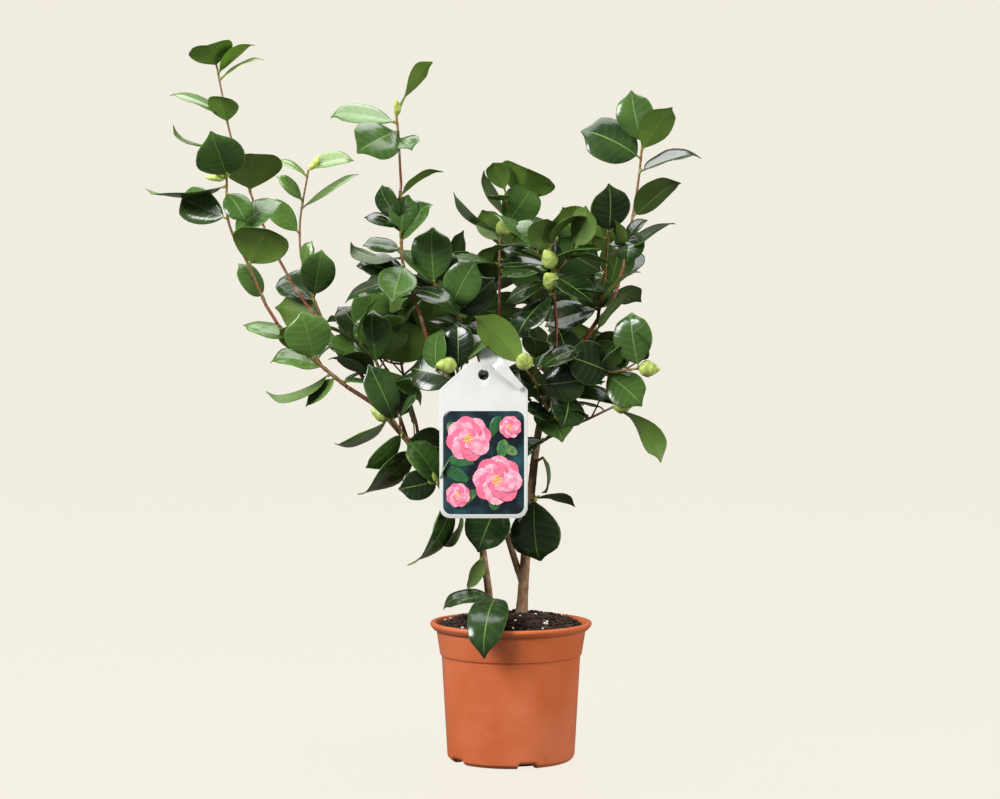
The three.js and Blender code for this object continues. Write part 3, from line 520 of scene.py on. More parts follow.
def leaf_face(chord, outward, letters, roll):
    """The upper side of a leaf: up and a little outwards, or turned to, from or across the front."""
    wanted = np.zeros(3)
    for letter, direction in FACES.items():
        if letter in letters:
            wanted = wanted + direction
    if "n" in letters:
        wanted = wanted - np.cross(chord, FRONT)
    if not wanted.any():
        wanted = np.array([0, 0, 1]) + OUTWARD_TILT * np.asarray(outward)
    return turned(square_to(wanted, chord), chord, roll)


def bud_at(base, chord, kind, key):
    """A bud's plan."""
    tip = base + chord * BUDS[kind]["length"]
    return {"kind": kind, "base": base, "chord": chord, "tip": tip, "key": key}


def leaf_at(base, chord, face, letters, seed, index):
    """A leaf's plan: its place, its size by its letters, and its own small differences."""
    def vary(trait, draw):
        return 1 + VARY[trait] * swing(seed, index + draw)

    size = LETTER["large"] ** letters.count("l") * LETTER["small"] ** letters.count("s") * vary("size", 3)
    across = LETTER["slender"] ** letters.count("w") * LETTER["broad"] ** letters.count("b")
    young = LETTER["young"] if "y" in letters else 1
    droop = LETTER["droop"] if "d" in letters else 1
    length = CAD_LEAF["length"] * size
    bend = CAD_LEAF["bend"] * droop * vary("bend", 5)
    return {
        "kind": "leaf", "base": base, "chord": chord, "face": face, "length": length, "bend": bend,
        "width": length * CAD_LEAF["width"] * across * young * vary("width", 4),
        "fold": CAD_LEAF["fold"] * vary("fold", 6), "letters": letters, "key": seed * SEED_DRAWS + index,
        "tip": base + chord * length * 2 * math.sin(bend / 2) / bend,
    }


def coded_leaves(name):
    """For each code of a mass, the ways in which its leaf or bud may be placed."""
    plan, curve = MASSES[name], curve_of(name)
    for count, (hour, letters, share) in enumerate(coded_places(plan, curve.length)):
        index = count * LEAF_DRAWS
        base = curve.point(share)
        forward = letters.count("t") - letters.count("a")
        lean = VARY["lean"] * swing(plan.seed, index) + LETTER["lean"] * forward
        roll = VARY["roll"] * swing(plan.seed, index + 1)
        ways = []
        for hours, leaning in TRIES:
            chord = hour_direction(hour + hours, lean + leaning)
            if re.search(r"[BP]", letters):
                kind = "flower" if "B" in letters else "tip"
                ways.append(bud_at(base, chord, kind, plan.seed * SEED_DRAWS + index))
            else:
                face = leaf_face(chord, FRONT, letters, roll)
                ways.append(leaf_at(base, chord, face, letters, plan.seed, index))
        yield ways


def twig_leaves(curve, seed, count, size=1):
    """Leaves that spiral round a twig by two fifths of a turn, closer together towards its tip."""
    for n in range(count):
        share = 1 - TWIG_LEAF["spanned"] * (n / count) ** TWIG_LEAF["crowding"]
        base, along = curve.point(share), curve.tangent(share)
        outward = unit([base[0], base[1], 0])
        roll = VARY["roll"] * swing(seed, n * LEAF_DRAWS + 1)
        ways = []
        for turn, leaning in TRIES:
            angle = seed + n * LEAF_SPIRAL + turn * TWIG_LEAF["turns"]
            around = square_to([math.cos(angle), math.sin(angle), TWIG_LEAF["lift"]], along)
            opening = TWIG_LEAF["end_angle"] if n == 0 else TWIG_LEAF["angle"] + leaning / 2
            chord = along * math.cos(opening) + around * math.sin(opening)
            leaf = leaf_at(base, chord, leaf_face(chord, outward, "", roll), "", seed, n * LEAF_DRAWS)
            ways.append(leaf if size == 1 else shrunk(leaf, size))
        yield ways


def shrunk(leaf, size):
    """The same leaf at another size."""
    small = dict(leaf, length=leaf["length"] * size, width=leaf["width"] * size)
    small["tip"] = leaf["base"] + (leaf["tip"] - leaf["base"]) * size
    return small


def seeded_twigs(stem, plan):
    """Side twigs that spiral up a stem by the golden angle and bow upwards, the last one its own tip."""
    for k in range(plan.twigs + 1):
        seed = plan.seed * TWIG_SEEDS + k
        is_tip = k == plan.twigs
        share = 1 if is_tip else TWIG["first"] + TWIG["spanned"] * k / plan.twigs
        start, along = stem.point(share), stem.tangent(share)
        turn = plan.seed + k * GOLDEN_ANGLE
        around = square_to([math.cos(turn), math.sin(turn), TWIG["upright"]], along)
        heading = unit(along + around * (TWIG["tip_spread"] if is_tip else TWIG["spread"]))
        side_length = TWIG["shortest"] + TWIG["longer"] * chance(seed, 1)
        length = plan.reach * (TWIG["tip_length"] if is_tip else side_length)
        yield bowed(start, heading, length, TWIG["lift"]), seed, is_tip


def node_points(name):
    """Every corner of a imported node, in millimetres."""
    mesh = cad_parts[name].data
    points = np.empty(len(mesh.vertices) * 3, np.float32)
    mesh.vertices.foreach_get("co", points)
    return points.reshape(-1, 3) / MM


def kept_pieces(choices, corners):
    """For each leaf or bud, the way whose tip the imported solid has, if there is one."""
    kept = []
    for ways in choices:
        gaps = [np.min(np.linalg.norm(corners - way["tip"], axis=1)) for way in ways]
        best = int(np.argmin(gaps))
        if gaps[best] < NEAREST_TIP:
            kept.append(ways[best])
    return kept


def add_twig(grown, curve, radii, kept):
    """Adds a twig and what it carries, and notes where each leaf joins it."""
    for piece in kept:
        grown[piece["kind"]].append(piece)
    joints = [piece["base"] for piece in kept if piece["kind"] == "leaf"]
    grown["twig"].append({"curve": curve, "radii": radii, "joints": joints})


def leaf_samples(leaf):
    """Nine points over a leaf: three across at each of three places along it."""
    side = np.cross(leaf["face"], leaf["chord"])
    along = np.array(LEAF_SAMPLES["along"])[:, None, None] * (leaf["tip"] - leaf["base"])
    across = np.array(LEAF_SAMPLES["across"])[None, :, None] * leaf["width"] * side
    return (leaf["base"] + along + across).reshape(-1, 3)


def limb_samples():
    """Points along every limb and mass stem, a few millimetres apart."""
    shares = np.linspace(0, 1, LIMB_SAMPLES)
    return np.vstack([curve_of(name).point(shares) for name in [*LIMBS, *MASSES]])


def clear_of(points, others, gap):
    """Whether no point of a set comes nearer to another set than a gap."""
    return np.linalg.norm(points[:, None] - others[None], axis=2).min() > gap


def finer_growth(name, grown, taken, limbs):
    """Thin twigs with small leaves inside a mass, carried on by the seeded rule where there is room. A
    leaf stays within a little of its node's box, and clear of the limbs and of every other leaf."""
    low, high = (np.array(corner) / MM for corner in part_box(name))
    low, high = low - FINER_TWIG["over"], high + FINER_TWIG["over"]

    def fits(leaf, others):
        points = leaf_samples(leaf)
        return (np.all(points > low) and np.all(points < high)
                and clear_of(points, limbs, FINER_TWIG["stem_gap"])
                and clear_of(points, others, FINER_TWIG["leaf_gap"]))

    twigs, leaves, size = FINER.get(name, FINER_DEFAULT)
    stem = curve_of(name)
    for k in range(twigs):
        seed = MASSES[name].seed * FINER_TWIG["seeds"] + k
        share = FINER_TWIG["highest"] - FINER_TWIG["spanned"] * (k + 0.5) / twigs
        start, along = stem.point(share), stem.tangent(share)
        angle = seed * GOLDEN_ANGLE
        around = square_to([math.cos(angle), math.sin(angle), FINER_TWIG["lift"]], along)
        heading = unit(along * FINER_TWIG["forward"] + around)
        length = FINER_TWIG["length"] * (FINER_TWIG["shortest"] + FINER_TWIG["longer"] * chance(seed, 1))
        curve = bowed(start, heading, length, FINER_TWIG["rise"])
        fitted = []
        for ways in twig_leaves(curve, seed, leaves, size):
            others = np.vstack([*taken, *(leaf_samples(leaf) for leaf in fitted)])
            leaf = next((way for way in ways if fits(way, others)), None)
            if leaf:
                fitted.append(leaf)
        if fitted:
            furthest = max(np.dot(leaf["base"] - start, heading) for leaf in fitted)
            used = min(1.0, furthest / length + FINER_TWIG["spare"])
            short = Curve(curve.point(np.linspace(0, used, 3)))
            grown["twig"].append({"curve": short, "radii": FINER_TWIG["radii"], "joints": []})
            grown["leaf"] += fitted
            taken += [leaf_samples(leaf) for leaf in fitted]


GROWN = {}


def grow():
    """Everything that the masses carry: leaves, buds and twigs, each kind as a list of plans."""
    if GROWN:
        return GROWN
    grown = {"leaf": [], "flower": [], "tip": [], "twig": []}
    for name, plan in MASSES.items():
        corners, stem = node_points(name), curve_of(name)
        add_twig(grown, stem, plan.radii, kept_pieces(coded_leaves(name), corners) if plan.leaves else [])
        if plan.leaves:
            continue
        for curve, seed, is_tip in seeded_twigs(stem, plan):
            count = TWIG["tip_leaves"] if is_tip else TWIG["leaves"]
            kept = kept_pieces(twig_leaves(curve, seed, count), corners)
            if kept:
                add_twig(grown, curve, (TWIG["radius"], TWIG["tip_radius"]), kept)
    taken = [leaf_samples(leaf) for leaf in grown["leaf"]]
    limbs = limb_samples()
    for name in MASSES:
        finer_growth(name, grown, taken, limbs)
    GROWN.update(grown)
    return GROWN


class Shape:
    """Points, faces, the finish of each face and a mark on each point, gathered part by part. A mark is a
    vector that the finishes read."""

    def __init__(self):
        self.points, self.marks, self.faces, self.kinds = [], [], [], []
        self.count = 0

    def add(self, points, faces, kind=0, marks=None):
        """Adds points of any leading shape, and lists of faces that count from their first point. The
        finish is one for all, or one for each face of the first list, whose first goes to the others."""
        points = np.asarray(points, float).reshape(-1, 3)
        marks = np.zeros_like(points) if marks is None else np.asarray(marks, float).reshape(-1, 3)
        for group in faces:
            group = np.asarray(group)
            self.faces.append(group + self.count)
            kinds = kind if np.ndim(kind) else np.full(len(group), kind)
            self.kinds.append(kinds if len(kinds) == len(group) else np.full(len(group), kinds[0]))
        self.points.append(points)
        self.marks.append(marks)
        self.count += len(points)

    def tube(self, points, kind=0, marks=None):
        """Adds a grid of rings as a tube with its ends closed."""
        self.add(points, tube_faces(*np.shape(points)[:2]), kind, marks)

    def mesh(self, name, smooth=True):
        """One mesh in metres, filled from whole arrays."""
        points = np.vstack(self.points) * MM
        corners = np.concatenate([group.ravel() for group in self.faces])
        sizes = np.concatenate([np.full(len(group), group.shape[1]) for group in self.faces])
        mesh = bpy.data.meshes.new(name)
        mesh.vertices.add(len(points))
        mesh.vertices.foreach_set("co", points.astype(np.float32).ravel())
        mesh.loops.add(len(corners))
        mesh.loops.foreach_set("vertex_index", corners.astype(np.int32))
        mesh.polygons.add(len(sizes))
        mesh.polygons.foreach_set("loop_start", np.concatenate([[0], np.cumsum(sizes)[:-1]]).astype(np.int32))
        mesh.polygons.foreach_set("material_index", np.concatenate(self.kinds).astype(np.int32))
        mesh.polygons.foreach_set("use_smooth", np.full(len(sizes), smooth))
        marks = mesh.attributes.new(MARKS, "FLOAT_VECTOR", "POINT")
        marks.data.foreach_set("vector", np.vstack(self.marks).astype(np.float32).ravel())
        mesh.update(calc_edges=True)
        return mesh


def place(name, shape, finishes, slot, nodes, smooth=True):
    """Puts a shape into the scene as a finished piece of the plant that stands for nodes of the frame."""
    piece = bpy.data.objects.new(name, shape.mesh(name, smooth))
    for finish in finishes:
        piece.data.materials.append(finish)
    bpy.context.scene.collection.objects.link(piece)
    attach(piece, "root")
    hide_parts(*nodes)


def ring_faces(rows, ring):
    """Quads between neighbouring rings of a tube, each ring closed on itself, facing outwards where the
    ring runs counter-clockwise seen against the tube's direction."""
    row, column = np.meshgrid(np.arange(rows - 1), np.arange(ring), indexing="ij")
    after = (column + 1) % ring
    quads = np.stack([row * ring + column, row * ring + after, (row + 1) * ring + after,
                      (row + 1) * ring + column], axis=-1)
    return quads.reshape(-1, 4)


def tube_faces(rows, ring):
    """The quads of a tube and the two flat faces that close its ends."""
    first = np.arange(ring)[::-1][None]
    last = ((rows - 1) * ring + np.arange(ring))[None]
    return [ring_faces(rows, ring), first, last]


def copies(faces, count, stride):
    """The same faces for several shapes that follow each other in one list of points."""
    return (faces[None] + (np.arange(count) * stride)[:, None, None]).reshape(-1, faces.shape[1])


def leaf_grid(leaves, thickness):
    """Leaves as closed thin bodies. Along a leaf the midrib bends down in an arc, with a further curl
    at its tip. Across it, each point lies its share of the half width out, raised by the fold, lowered
    where the margin curves back, and waved a little. The half width is the sine of a power of the
    share of the blade, narrowed to a drawn-out tip, and the petiole is a thin round stalk."""
    def column(part):
        return np.array([leaf[part] for leaf in leaves], float)

    def vary(trait):
        middle, amount = LEAF_TRAITS[trait]
        return (middle + amount * swing(key, TRAIT_DRAW + list(LEAF_TRAITS).index(trait)))[:, None]

    form = LEAF_FORM
    key, length, width = column("key"), column("length")[:, None], column("width")[:, None]
    base, chord, face = (column(part)[:, None] for part in ("base", "chord", "face"))
    side = np.cross(chord, face)
    share = LEAF_ROWS[None]
    blade = np.clip((share - PETIOLE) / (1 - PETIOLE), 0, 1)

    angle = column("bend")[:, None] * (0.5 - share) - vary("curl") * smoothstep(share, form["curl_from"], 1)
    bow = vary("bow") * (share - form["bow_middle"])
    forward = (chord * (np.cos(angle) * np.cos(bow))[..., None]
               + face * (np.sin(angle) * np.cos(bow))[..., None] + side * np.sin(bow)[..., None])
    steps = (forward[:, 1:] + forward[:, :-1]) / 2 * np.diff(LEAF_ROWS)[None, :, None] * length[..., None]
    spine = base + np.concatenate([np.zeros_like(steps[:, :1]), np.cumsum(steps, axis=1)], axis=1)
    up = unit(face * np.cos(angle)[..., None] - chord * np.sin(angle)[..., None])
    edge_on = np.array([set("nlw") <= set(leaf["letters"]) for leaf in leaves])[:, None]
    twist = (vary("twist") + form["edge_twist"] * edge_on) * (share - form["twist_middle"])
    out, up = spun(np.cross(forward, up), up, -twist[..., None])

    outline = form["fullness"] * np.sin(np.pi * blade ** vary("belly")) ** vary("roundness")
    outline = outline * (1 - form["drawn"] * smoothstep(blade, form["drawn_from"], form["drawn_to"]))
    stalk = PETIOLE_RADIUS * (form["stalk_end"] - blade)
    half = np.sqrt((width / 2 * outline) ** 2 + stalk ** 2)[..., None]

    v = LEAF_RING[None, None]
    blade = blade[..., None]
    flat = smoothstep(share, PETIOLE * form["round_to"], PETIOLE * form["flat_from"])[..., None]
    fold = column("fold")[:, None, None] * (np.sqrt(v ** 2 + form["fold_soft"]) - form["fold_low"])
    lift = fold - vary("recurve")[..., None] * v ** 2 - form["rim"] * v ** 6
    turns = blade * vary("waves")[..., None] + vary("phase")[..., None] + form["side_lag"] * np.sign(v)
    ripple = vary("ripple")[..., None] * np.sin(2 * np.pi * turns)
    lift = (lift + ripple * v ** 2) * half * flat
    round_body = PETIOLE_RADIUS * np.sqrt(1 - v ** 2)
    thin_body = thickness / 2 * np.sqrt(1 - v ** 8)
    rib = np.where(LEAF_ABOVE, form["rib_above"], form["rib_below"]) * (np.abs(v) < form["rib_half"])
    rib = rib * (1 - blade) ** 0.5
    body = (round_body * (1 - flat) + (thin_body + rib) * flat) * np.minimum(1, half)
    rise = lift + np.where(LEAF_ABOVE, body, -body)
    vein = blade * VEIN_PAIRS - form["vein_slant"] * np.abs(v)
    marks = stacked(vein, v, chance(key, TINT_DRAW)[:, None, None])
    return swept(spine, out, up, half * v, rise), marks


def leaf_kinds():
    """The finish of each face of a leaf: blade, rib, margin, underside or petiole."""
    kinds = np.tile(LEAF_STEP_KINDS, (len(LEAF_ROWS) - 1, 1))
    kinds[LEAF_ROWS[1:] <= PETIOLE] = LEAF_KINDS.index("petiole")
    return kinds.ravel()


def tube_grid(curve, radius_at, ring, step):
    """A limb: rings square to a curve, kept from turning about it, with the radius a function of the
    share of its length and the angle. Marks hold the angle as a unit circle, and the length."""
    rows = max(3, int(round(curve.length / step)) + 1)
    shares = np.linspace(0, 1, rows)
    spine, along = curve.point(shares), curve.tangent(shares)
    across = [any_side(along[0])]
    for direction in along[1:]:
        across.append(square_to(across[-1], direction))
    across = np.array(across)
    angle = circle(ring)[None]
    radius = radius_at(shares[:, None], angle, spine)
    points = swept(spine, across, np.cross(along, across), radius * np.cos(angle), radius * np.sin(angle))
    return points, stacked(np.cos(angle), np.sin(angle), shares[:, None] * curve.length)


def bud_grid(bud):
    """A bud: a spindle round its axis, stepped by overlapping scales. A scale covers the bud up to an
    edge that falls away on both sides of its middle, and the lower scales lie over the higher ones."""
    form, size = BUD_FORM, BUDS[bud["kind"]]
    key, direction, scales = bud["key"], bud["chord"], size["scales"]
    length = size["length"] * (1 + form["vary"] * swing(key, 1))
    share = np.linspace(0, 1, form["rows"])[:, None]
    angle = circle(form["ring"])[None]
    spindle = np.sin(np.pi * np.clip(share, form["foot"], form["end"]) ** form["low"]) ** form["round"]
    layer = np.zeros((form["rows"], form["ring"]))
    below = np.ones_like(layer)
    for k in range(scales - 1, -1, -1):
        middle = key + k * GOLDEN_ANGLE
        away = np.abs((angle - middle + np.pi) % (2 * np.pi) - np.pi)
        middle_edge = form["first_edge"] + form["edges"] * k / scales
        edge = middle_edge - form["fall"] * (away / form["fall_angle"]) ** 2
        covered = (share < edge) & (away < form["scale_angle"])
        layer = np.where(covered, scales - k, layer)
        below = np.where(covered, edge - share, below)
    thick = size["radius"] * (form["body"] * spindle + form["step"] * layer * np.sqrt(spindle) - form["sunk"])
    across = any_side(direction)
    bend = form["bend"] * length * np.sin(np.pi * share)
    spine = bud["base"] + direction * share * length + across * bend
    upward = np.cross(direction, across)
    points = swept(spine, across, upward, thick * np.cos(angle), thick * np.sin(angle))
    return points, stacked(np.clip(below / form["rim"], 0, 1), share, chance(key, 3))


def rounded(corners, radius, steps=4):
    """An outline whose inner corners are replaced by short parabolic arcs. An arc starts and ends its
    radius away from the corner, or less where a side is short."""
    corners = np.asarray(corners, float)
    points = [corners[0]]
    for before, corner, after in zip(corners, corners[1:], corners[2:]):
        reach = min(radius, 0.45 * np.linalg.norm(corner - before), 0.45 * np.linalg.norm(after - corner))
        start = corner + unit(before - corner) * reach
        end = corner + unit(after - corner) * reach
        for w in np.linspace(0, 1, steps):
            points.append((1 - w) ** 2 * start + 2 * w * (1 - w) * corner + w ** 2 * end)
    points.append(corners[-1])
    return np.array(points)


def subdivided(outline, step):
    """The same outline with no span longer than a step."""
    points = [outline[0]]
    for start, end in zip(outline, outline[1:]):
        spans = max(1, math.ceil(np.linalg.norm(end - start) / step))
        points += [start + (end - start) * k / spans for k in range(1, spans + 1)]
    return np.array(points)


def turned_body(outline, angles, change=None):
    """A closed body of revolution: each point of the outline at each angle round the upright axis. The
    outline runs from the axis at the bottom, up the outside, and back to the axis."""
    radius, height = (np.repeat(outline[:, [column]], len(angles), axis=1) for column in (0, 1))
    if change:
        radius, height = change(radius, height, angles)
    points = stacked(radius * np.cos(angles), radius * np.sin(angles), height)
    return points, tube_faces(len(outline), len(angles))


def pot_shape(settings):
    """The pot: a lathed wall with its step, groove and flared lip, with drain notches in its foot.
    In a notch the underside is lifted to the notch's height from the notch's depth outwards, and the notch's
    own faces have a second, near-black finish: painted shade in the recess, and compost seen through the
    drain opening."""
    angles = circle(settings.segments)
    foot, step, collar, neck, lip = (POT[part] for part in ("foot", "step", "collar", "neck", "lip"))
    step_z, neck_z, top, wall = POT["step_z"], POT["neck_z"], POT["height"], POT["wall"]
    outside = rounded([
        (POLE, 1), (foot - 11, 1), (foot - 9.5, 0), (foot - 3.5, 0), (foot, 3.5), (step, step_z),
        (collar, step_z + 1), (neck, neck_z - 0.6), (neck - 0.4, neck_z + 0.4), (neck + 2.6, neck_z + 1),
        (lip - 1.6, neck_z + 3), (lip, POT["flare_z"] - 0.6), (lip, top - 0.9), (lip - 1.2, top),
        (neck + 0.9, top), (neck - wall + 0.2, neck_z + 2.5), (neck - wall, neck_z - 1.2),
        (collar - wall, step_z), (foot - wall, POT["floor"]), (POLE, POT["floor"]),
    ], POT["edge"])
    outline = subdivided(outside, POT["longest_span"])

    pitch = 2 * np.pi / POT["notches"]
    start = np.pi / 2 + POT["notch_turn"] * pitch
    away = np.abs((angles - start + pitch / 2) % pitch - pitch / 2) * foot
    window = away[None] < POT["notch_width"] / 2
    inner = foot - POT["notch_depth"] - POT["notch_reach"]
    low = (outline[:, 0] > inner) & (outline[:, 1] < POT["notch_height"])

    def notched(radius, height, angles):
        return radius, np.where(window & low[:, None], POT["notch_height"], height)

    points, faces = turned_body(outline, angles, notched)
    # The faces inside a notch, which get the near-black finish of painted shade and compost.
    notch_compost_shade = window & np.roll(window, -1, axis=1) & low[1:, None]
    shape = Shape()
    shape.add(points, faces, notch_compost_shade.ravel().astype(int))
    return shape


def waves(x, y, seed, count, shortest, longest):
    """A bumpy sheet between about -1 and 1: the sum of sine waves of seeded lengths and directions."""
    total = np.zeros(np.broadcast(x, y).shape)
    for k in range(count):
        length = shortest + (longest - shortest) * chance(seed, 3 * k)
        heading = 2 * np.pi * chance(seed, 3 * k + 1)
        phase = 2 * np.pi * chance(seed, 3 * k + 2)
        total += np.sin((x * np.cos(heading) + y * np.sin(heading)) * 2 * np.pi / length + phase)
    return total / math.sqrt(count)


def compost_height(radius):
    """The height of the compost at a distance from the middle: level, then a shoulder that falls away."""
    return np.interp(radius, SOIL["radii"], SOIL["heights"])


def compost_shape(settings):
    """Compost: a closed body with a crumbly top, and loose crumbs, bark and perlite strewn over it."""
    edge, floor = SOIL["edge"], SOIL["floor"]
    inner = POT["foot"] - POT["wall"] - SOIL["gap"]
    shoulder = edge - SOIL["narrower"]
    side = np.array([(POLE, floor), (inner, floor), (shoulder, POT["step_z"]), (edge, SOIL["side_top"])])
    top = np.linspace(edge, POLE, SOIL["rings"])
    outline = np.vstack([side, np.stack([top, compost_height(top)], axis=1)])

    def crumbly(radius, height, angles):
        x, y = radius * np.cos(angles), radius * np.sin(angles)
        high, low = BUMPS["heights"]
        bumps = high * waves(x, y, *BUMPS["coarse"]) + low * waves(x, y, *BUMPS["fine"])
        return radius, height + np.clip(bumps, *BUMPS["limits"]) * smoothstep(height, *SOIL["loose"])

    shape = Shape()
    shape.add(*turned_body(outline, circle(SOIL["segments"]), crumbly))
    loose = dict(CRUMBS, count=settings.crumbs, size=settings.crumb_size / MM)
    for kind, strewn in enumerate([loose, CHIPS, GRAINS], start=1):
        points, faces = crumbs(**strewn)
        shape.add(points, [faces], kind)
    return shape


def icosahedron():
    """A twenty-sided solid: its corners are those of three golden rectangles, at unit distance, and its
    faces are all threes of neighbours, taken counter-clockwise as seen from outside."""
    golden = (1 + math.sqrt(5)) / 2
    corners = np.array([(s, golden * t, 0) for s in (-1, 1) for t in (-1, 1)])
    corners = unit(np.vstack([np.roll(corners, k, axis=1) for k in range(3)]))
    gaps = np.linalg.norm(corners[:, None] - corners[None], axis=2)
    near = gaps < 1.1
    faces = [(a, b, c) for a, b, c in itertools.permutations(range(len(corners)), 3)
             if a < min(b, c) and near[a, b] and near[b, c] and near[c, a]
             and np.dot(np.cross(corners[a], corners[b]), corners[c]) > 0]
    return corners, np.array(faces)


def crumbs(count, size, stretch, rise, seed):
    """Rough lumps: twenty-sided solids, each corner pushed in or out by a seeded share, turned any way and
    strewn evenly over the compost, the larger ones standing a little higher."""
    key = seed * LUMP["seeds"] + np.arange(count)
    corners, faces = icosahedron()
    corner_draws = np.arange(len(corners))[None] + LUMP["corner_draw"]
    lump = corners[None] * (LUMP["least"] + LUMP["more"] * chance(key[:, None], corner_draws))[..., None]
    half = size / 2 * (LUMP["smallest"] + LUMP["larger"] * chance(key, 1))
    x, y, z = np.moveaxis(lump * np.array([stretch, 1, LUMP["flat"]]) * half[:, None, None], -1, 0)
    x, z = spun(x, z, LUMP["tilt"] * swing(key, 3)[:, None])
    x, y = spun(x, y, 2 * np.pi * chance(key, 2)[:, None])
    radius = (SOIL["edge"] - LUMP["off_wall"]) * np.sqrt(chance(key, 4))
    angle = 2 * np.pi * chance(key, 5)
    place_x, place_y = radius * np.cos(angle), radius * np.sin(angle)
    ground = compost_height(radius) + BUMPS["heights"][0] * waves(place_x, place_y, *BUMPS["coarse"])
    height = ground + LUMP["clear"] + rise + LUMP["raised"] * size
    points = stacked(x + place_x[:, None], y + place_y[:, None], z + height[:, None])
    return points, copies(faces, count, len(corners))


def card_radius(angle):
    """How far the card reaches from its hole at each angle: the nearest of its straight sides, with the
    two lower corners rounded."""
    half, low, high = LABEL["width"] / 2, LABEL["height"] - LABEL["hole_drop"], LABEL["hole_drop"]
    cos, sin = np.abs(np.cos(angle)), np.sin(angle)
    slope = unit([LABEL["shoulder"], half - LABEL["neck"] / 2])
    reach = half * slope[0] + (high - LABEL["shoulder"]) * slope[1]
    sides = ((half, cos), (low, -sin), (high, sin), (reach, cos * slope[0] + sin * slope[1]))
    plain = np.minimum.reduce([
        np.where(toward > NEARLY_SQUARE, side / np.maximum(toward, NEARLY_SQUARE), np.inf)
        for side, toward in sides])
    corner = LABEL["corner"]
    centre = np.array([half - corner, -(low - corner)])
    toward = cos * centre[0] + sin * centre[1]
    arc = toward + np.sqrt(np.maximum(toward ** 2 - (centre @ centre - corner ** 2), 0))
    return np.where((arc * cos > centre[0]) & (arc * sin < centre[1]), arc, plain)


def card_point(x, z, lift):
    """A point on the card by its distance across from the hole and its height, lifted off the front. The
    card bows back towards its two upright sides, and waves a little along its height."""
    bow = LABEL["bow"] * (x / (LABEL["width"] / 2)) ** 2 + LABEL["wave"] * np.sin(z / LABEL["wave_length"])
    hole_z = LABEL["bottom_z"] + LABEL["height"] - LABEL["hole_drop"]
    return stacked(LABEL["centre_x"] + x, LABEL["y"] + LABEL["thickness"] + bow - lift, hole_z + z)


def card_shape():
    """The card as one closed ring round its hole: out over the front, round the rim, back over the back
    and through the hole, at each angle."""
    angle = circle(LABEL["segments"])[None]
    outer, hole, thick, edge = card_radius(angle), LABEL["hole"], LABEL["thickness"], LABEL["edge"]
    share = np.linspace(0, 1, LABEL["rings"])[:, None]
    front = hole + edge + (outer - edge - hole - edge) * share
    side = np.array([[0.8], [0.2]]) * thick + 0 * angle
    radius = np.vstack([front, outer + 0 * share[:2], front[::-1], hole + 0 * angle + 0 * share[:2]])
    lift = np.vstack([0 * front + thick, side, 0 * front, side[::-1]])
    points = card_point(radius * np.cos(angle), radius * np.sin(angle), lift)
    count, ring = radius.shape
    faces = ring_faces(count + 1, ring)[:, ::-1]
    shape = Shape()
    shape.add(points, [faces % (count * ring)])
    return shape


def print_patch(shape, x, z, lift, kind):
    """A thin printed patch over a grid of places on the card, front and back, closed at its rim."""
    front, back = card_point(x, z, lift), card_point(x, z, lift - PRINT["thickness"])
    shape.tube(np.concatenate([front, back[:, ::-1]], axis=1), kind)


def petal_patch(shape, centre, angle, length, width, lift, kind):
    """A petal: from its flower's centre, its half width the sine of a power of its length, with a
    shallow notch at its outer end."""
    rows = PETAL["row_middle"] - PETAL["row_reach"] * np.cos(np.linspace(0, np.pi, PETAL["rows"]))
    share, across = np.meshgrid(rows, np.linspace(1, -1, PETAL["columns"]), indexing="ij")
    end = 1 - 2 * PETAL["foot"]
    half = width / 2 * np.sin(np.pi * (PETAL["foot"] + end * share ** PETAL["belly"])) ** 0.5
    notch = PETAL["notch"] * share * np.exp(-(across * PETAL["notch_width"]) ** 2)
    along = length * share * (1 - notch) - PETAL["fall"] * length * across ** 2 * share
    x, z = spun(along, half * across, angle)
    print_patch(shape, centre[0] + x, centre[1] + z, lift, kind)


def panel_patch(shape):
    """The picture's ground: a rectangle whose half width follows a quarter circle at each corner."""
    half, top, low = PRINT["width"] / 2, PRINT["top"], PRINT["top"] - PRINT["height"]
    corner, skipped = PRINT["corner"], PANEL["rows_in_corner"]
    arc = corner * (1 - np.cos(np.linspace(0, np.pi / 2, PANEL["corner_rows"])))
    sides = np.linspace(low, top, PANEL["rows"])[skipped:-skipped]
    z = np.concatenate([low + arc, sides, (top - arc)[::-1]])[:, None]
    into = np.maximum(0, corner - np.minimum(z - low, top - z))
    x = np.linspace(-1, 1, PANEL["columns"]) * (half - corner + np.sqrt(corner ** 2 - into ** 2))
    print_patch(shape, x, z + 0 * x, LABEL["thickness"] + PRINT["thickness"], 0)


def print_shape():
    """The card's picture: a dark panel with rounded corners, plain leaves and a few simple flowers, each
    of three rings of petals, each ring smaller than the last, and stamens."""
    shape = Shape()
    panel_patch(shape)
    layer = PRINT["thickness"]
    lift = LABEL["thickness"] + 2 * layer
    for x, z, angle, length, width, tone in PRINT["leaves"]:
        petal_patch(shape, (x, z), math.radians(angle), length, width, lift, 1 + tone)
        lift += layer / 8
    for x, z, size, turn in PRINT["flowers"]:
        for petals, share, width in PRINT["petal_rings"]:
            for k in range(petals):
                angle = math.radians(turn * share) + 2 * math.pi * k / petals
                petal_patch(shape, (x, z), angle, size * share, size * width, lift, 3 + (k + petals) % 2)
                lift += layer / 4
        for k in range(PRINT["stamens"]):
            angle, away = k * GOLDEN_ANGLE, size * PRINT["stamens_reach"] * math.sqrt(k / PRINT["stamens"])
            spot = (x + away * math.cos(angle), z + away * math.sin(angle))
            round_patch(shape, spot, size * PRINT["stamen"], lift + layer / 4, 5)
        lift += layer
    return shape


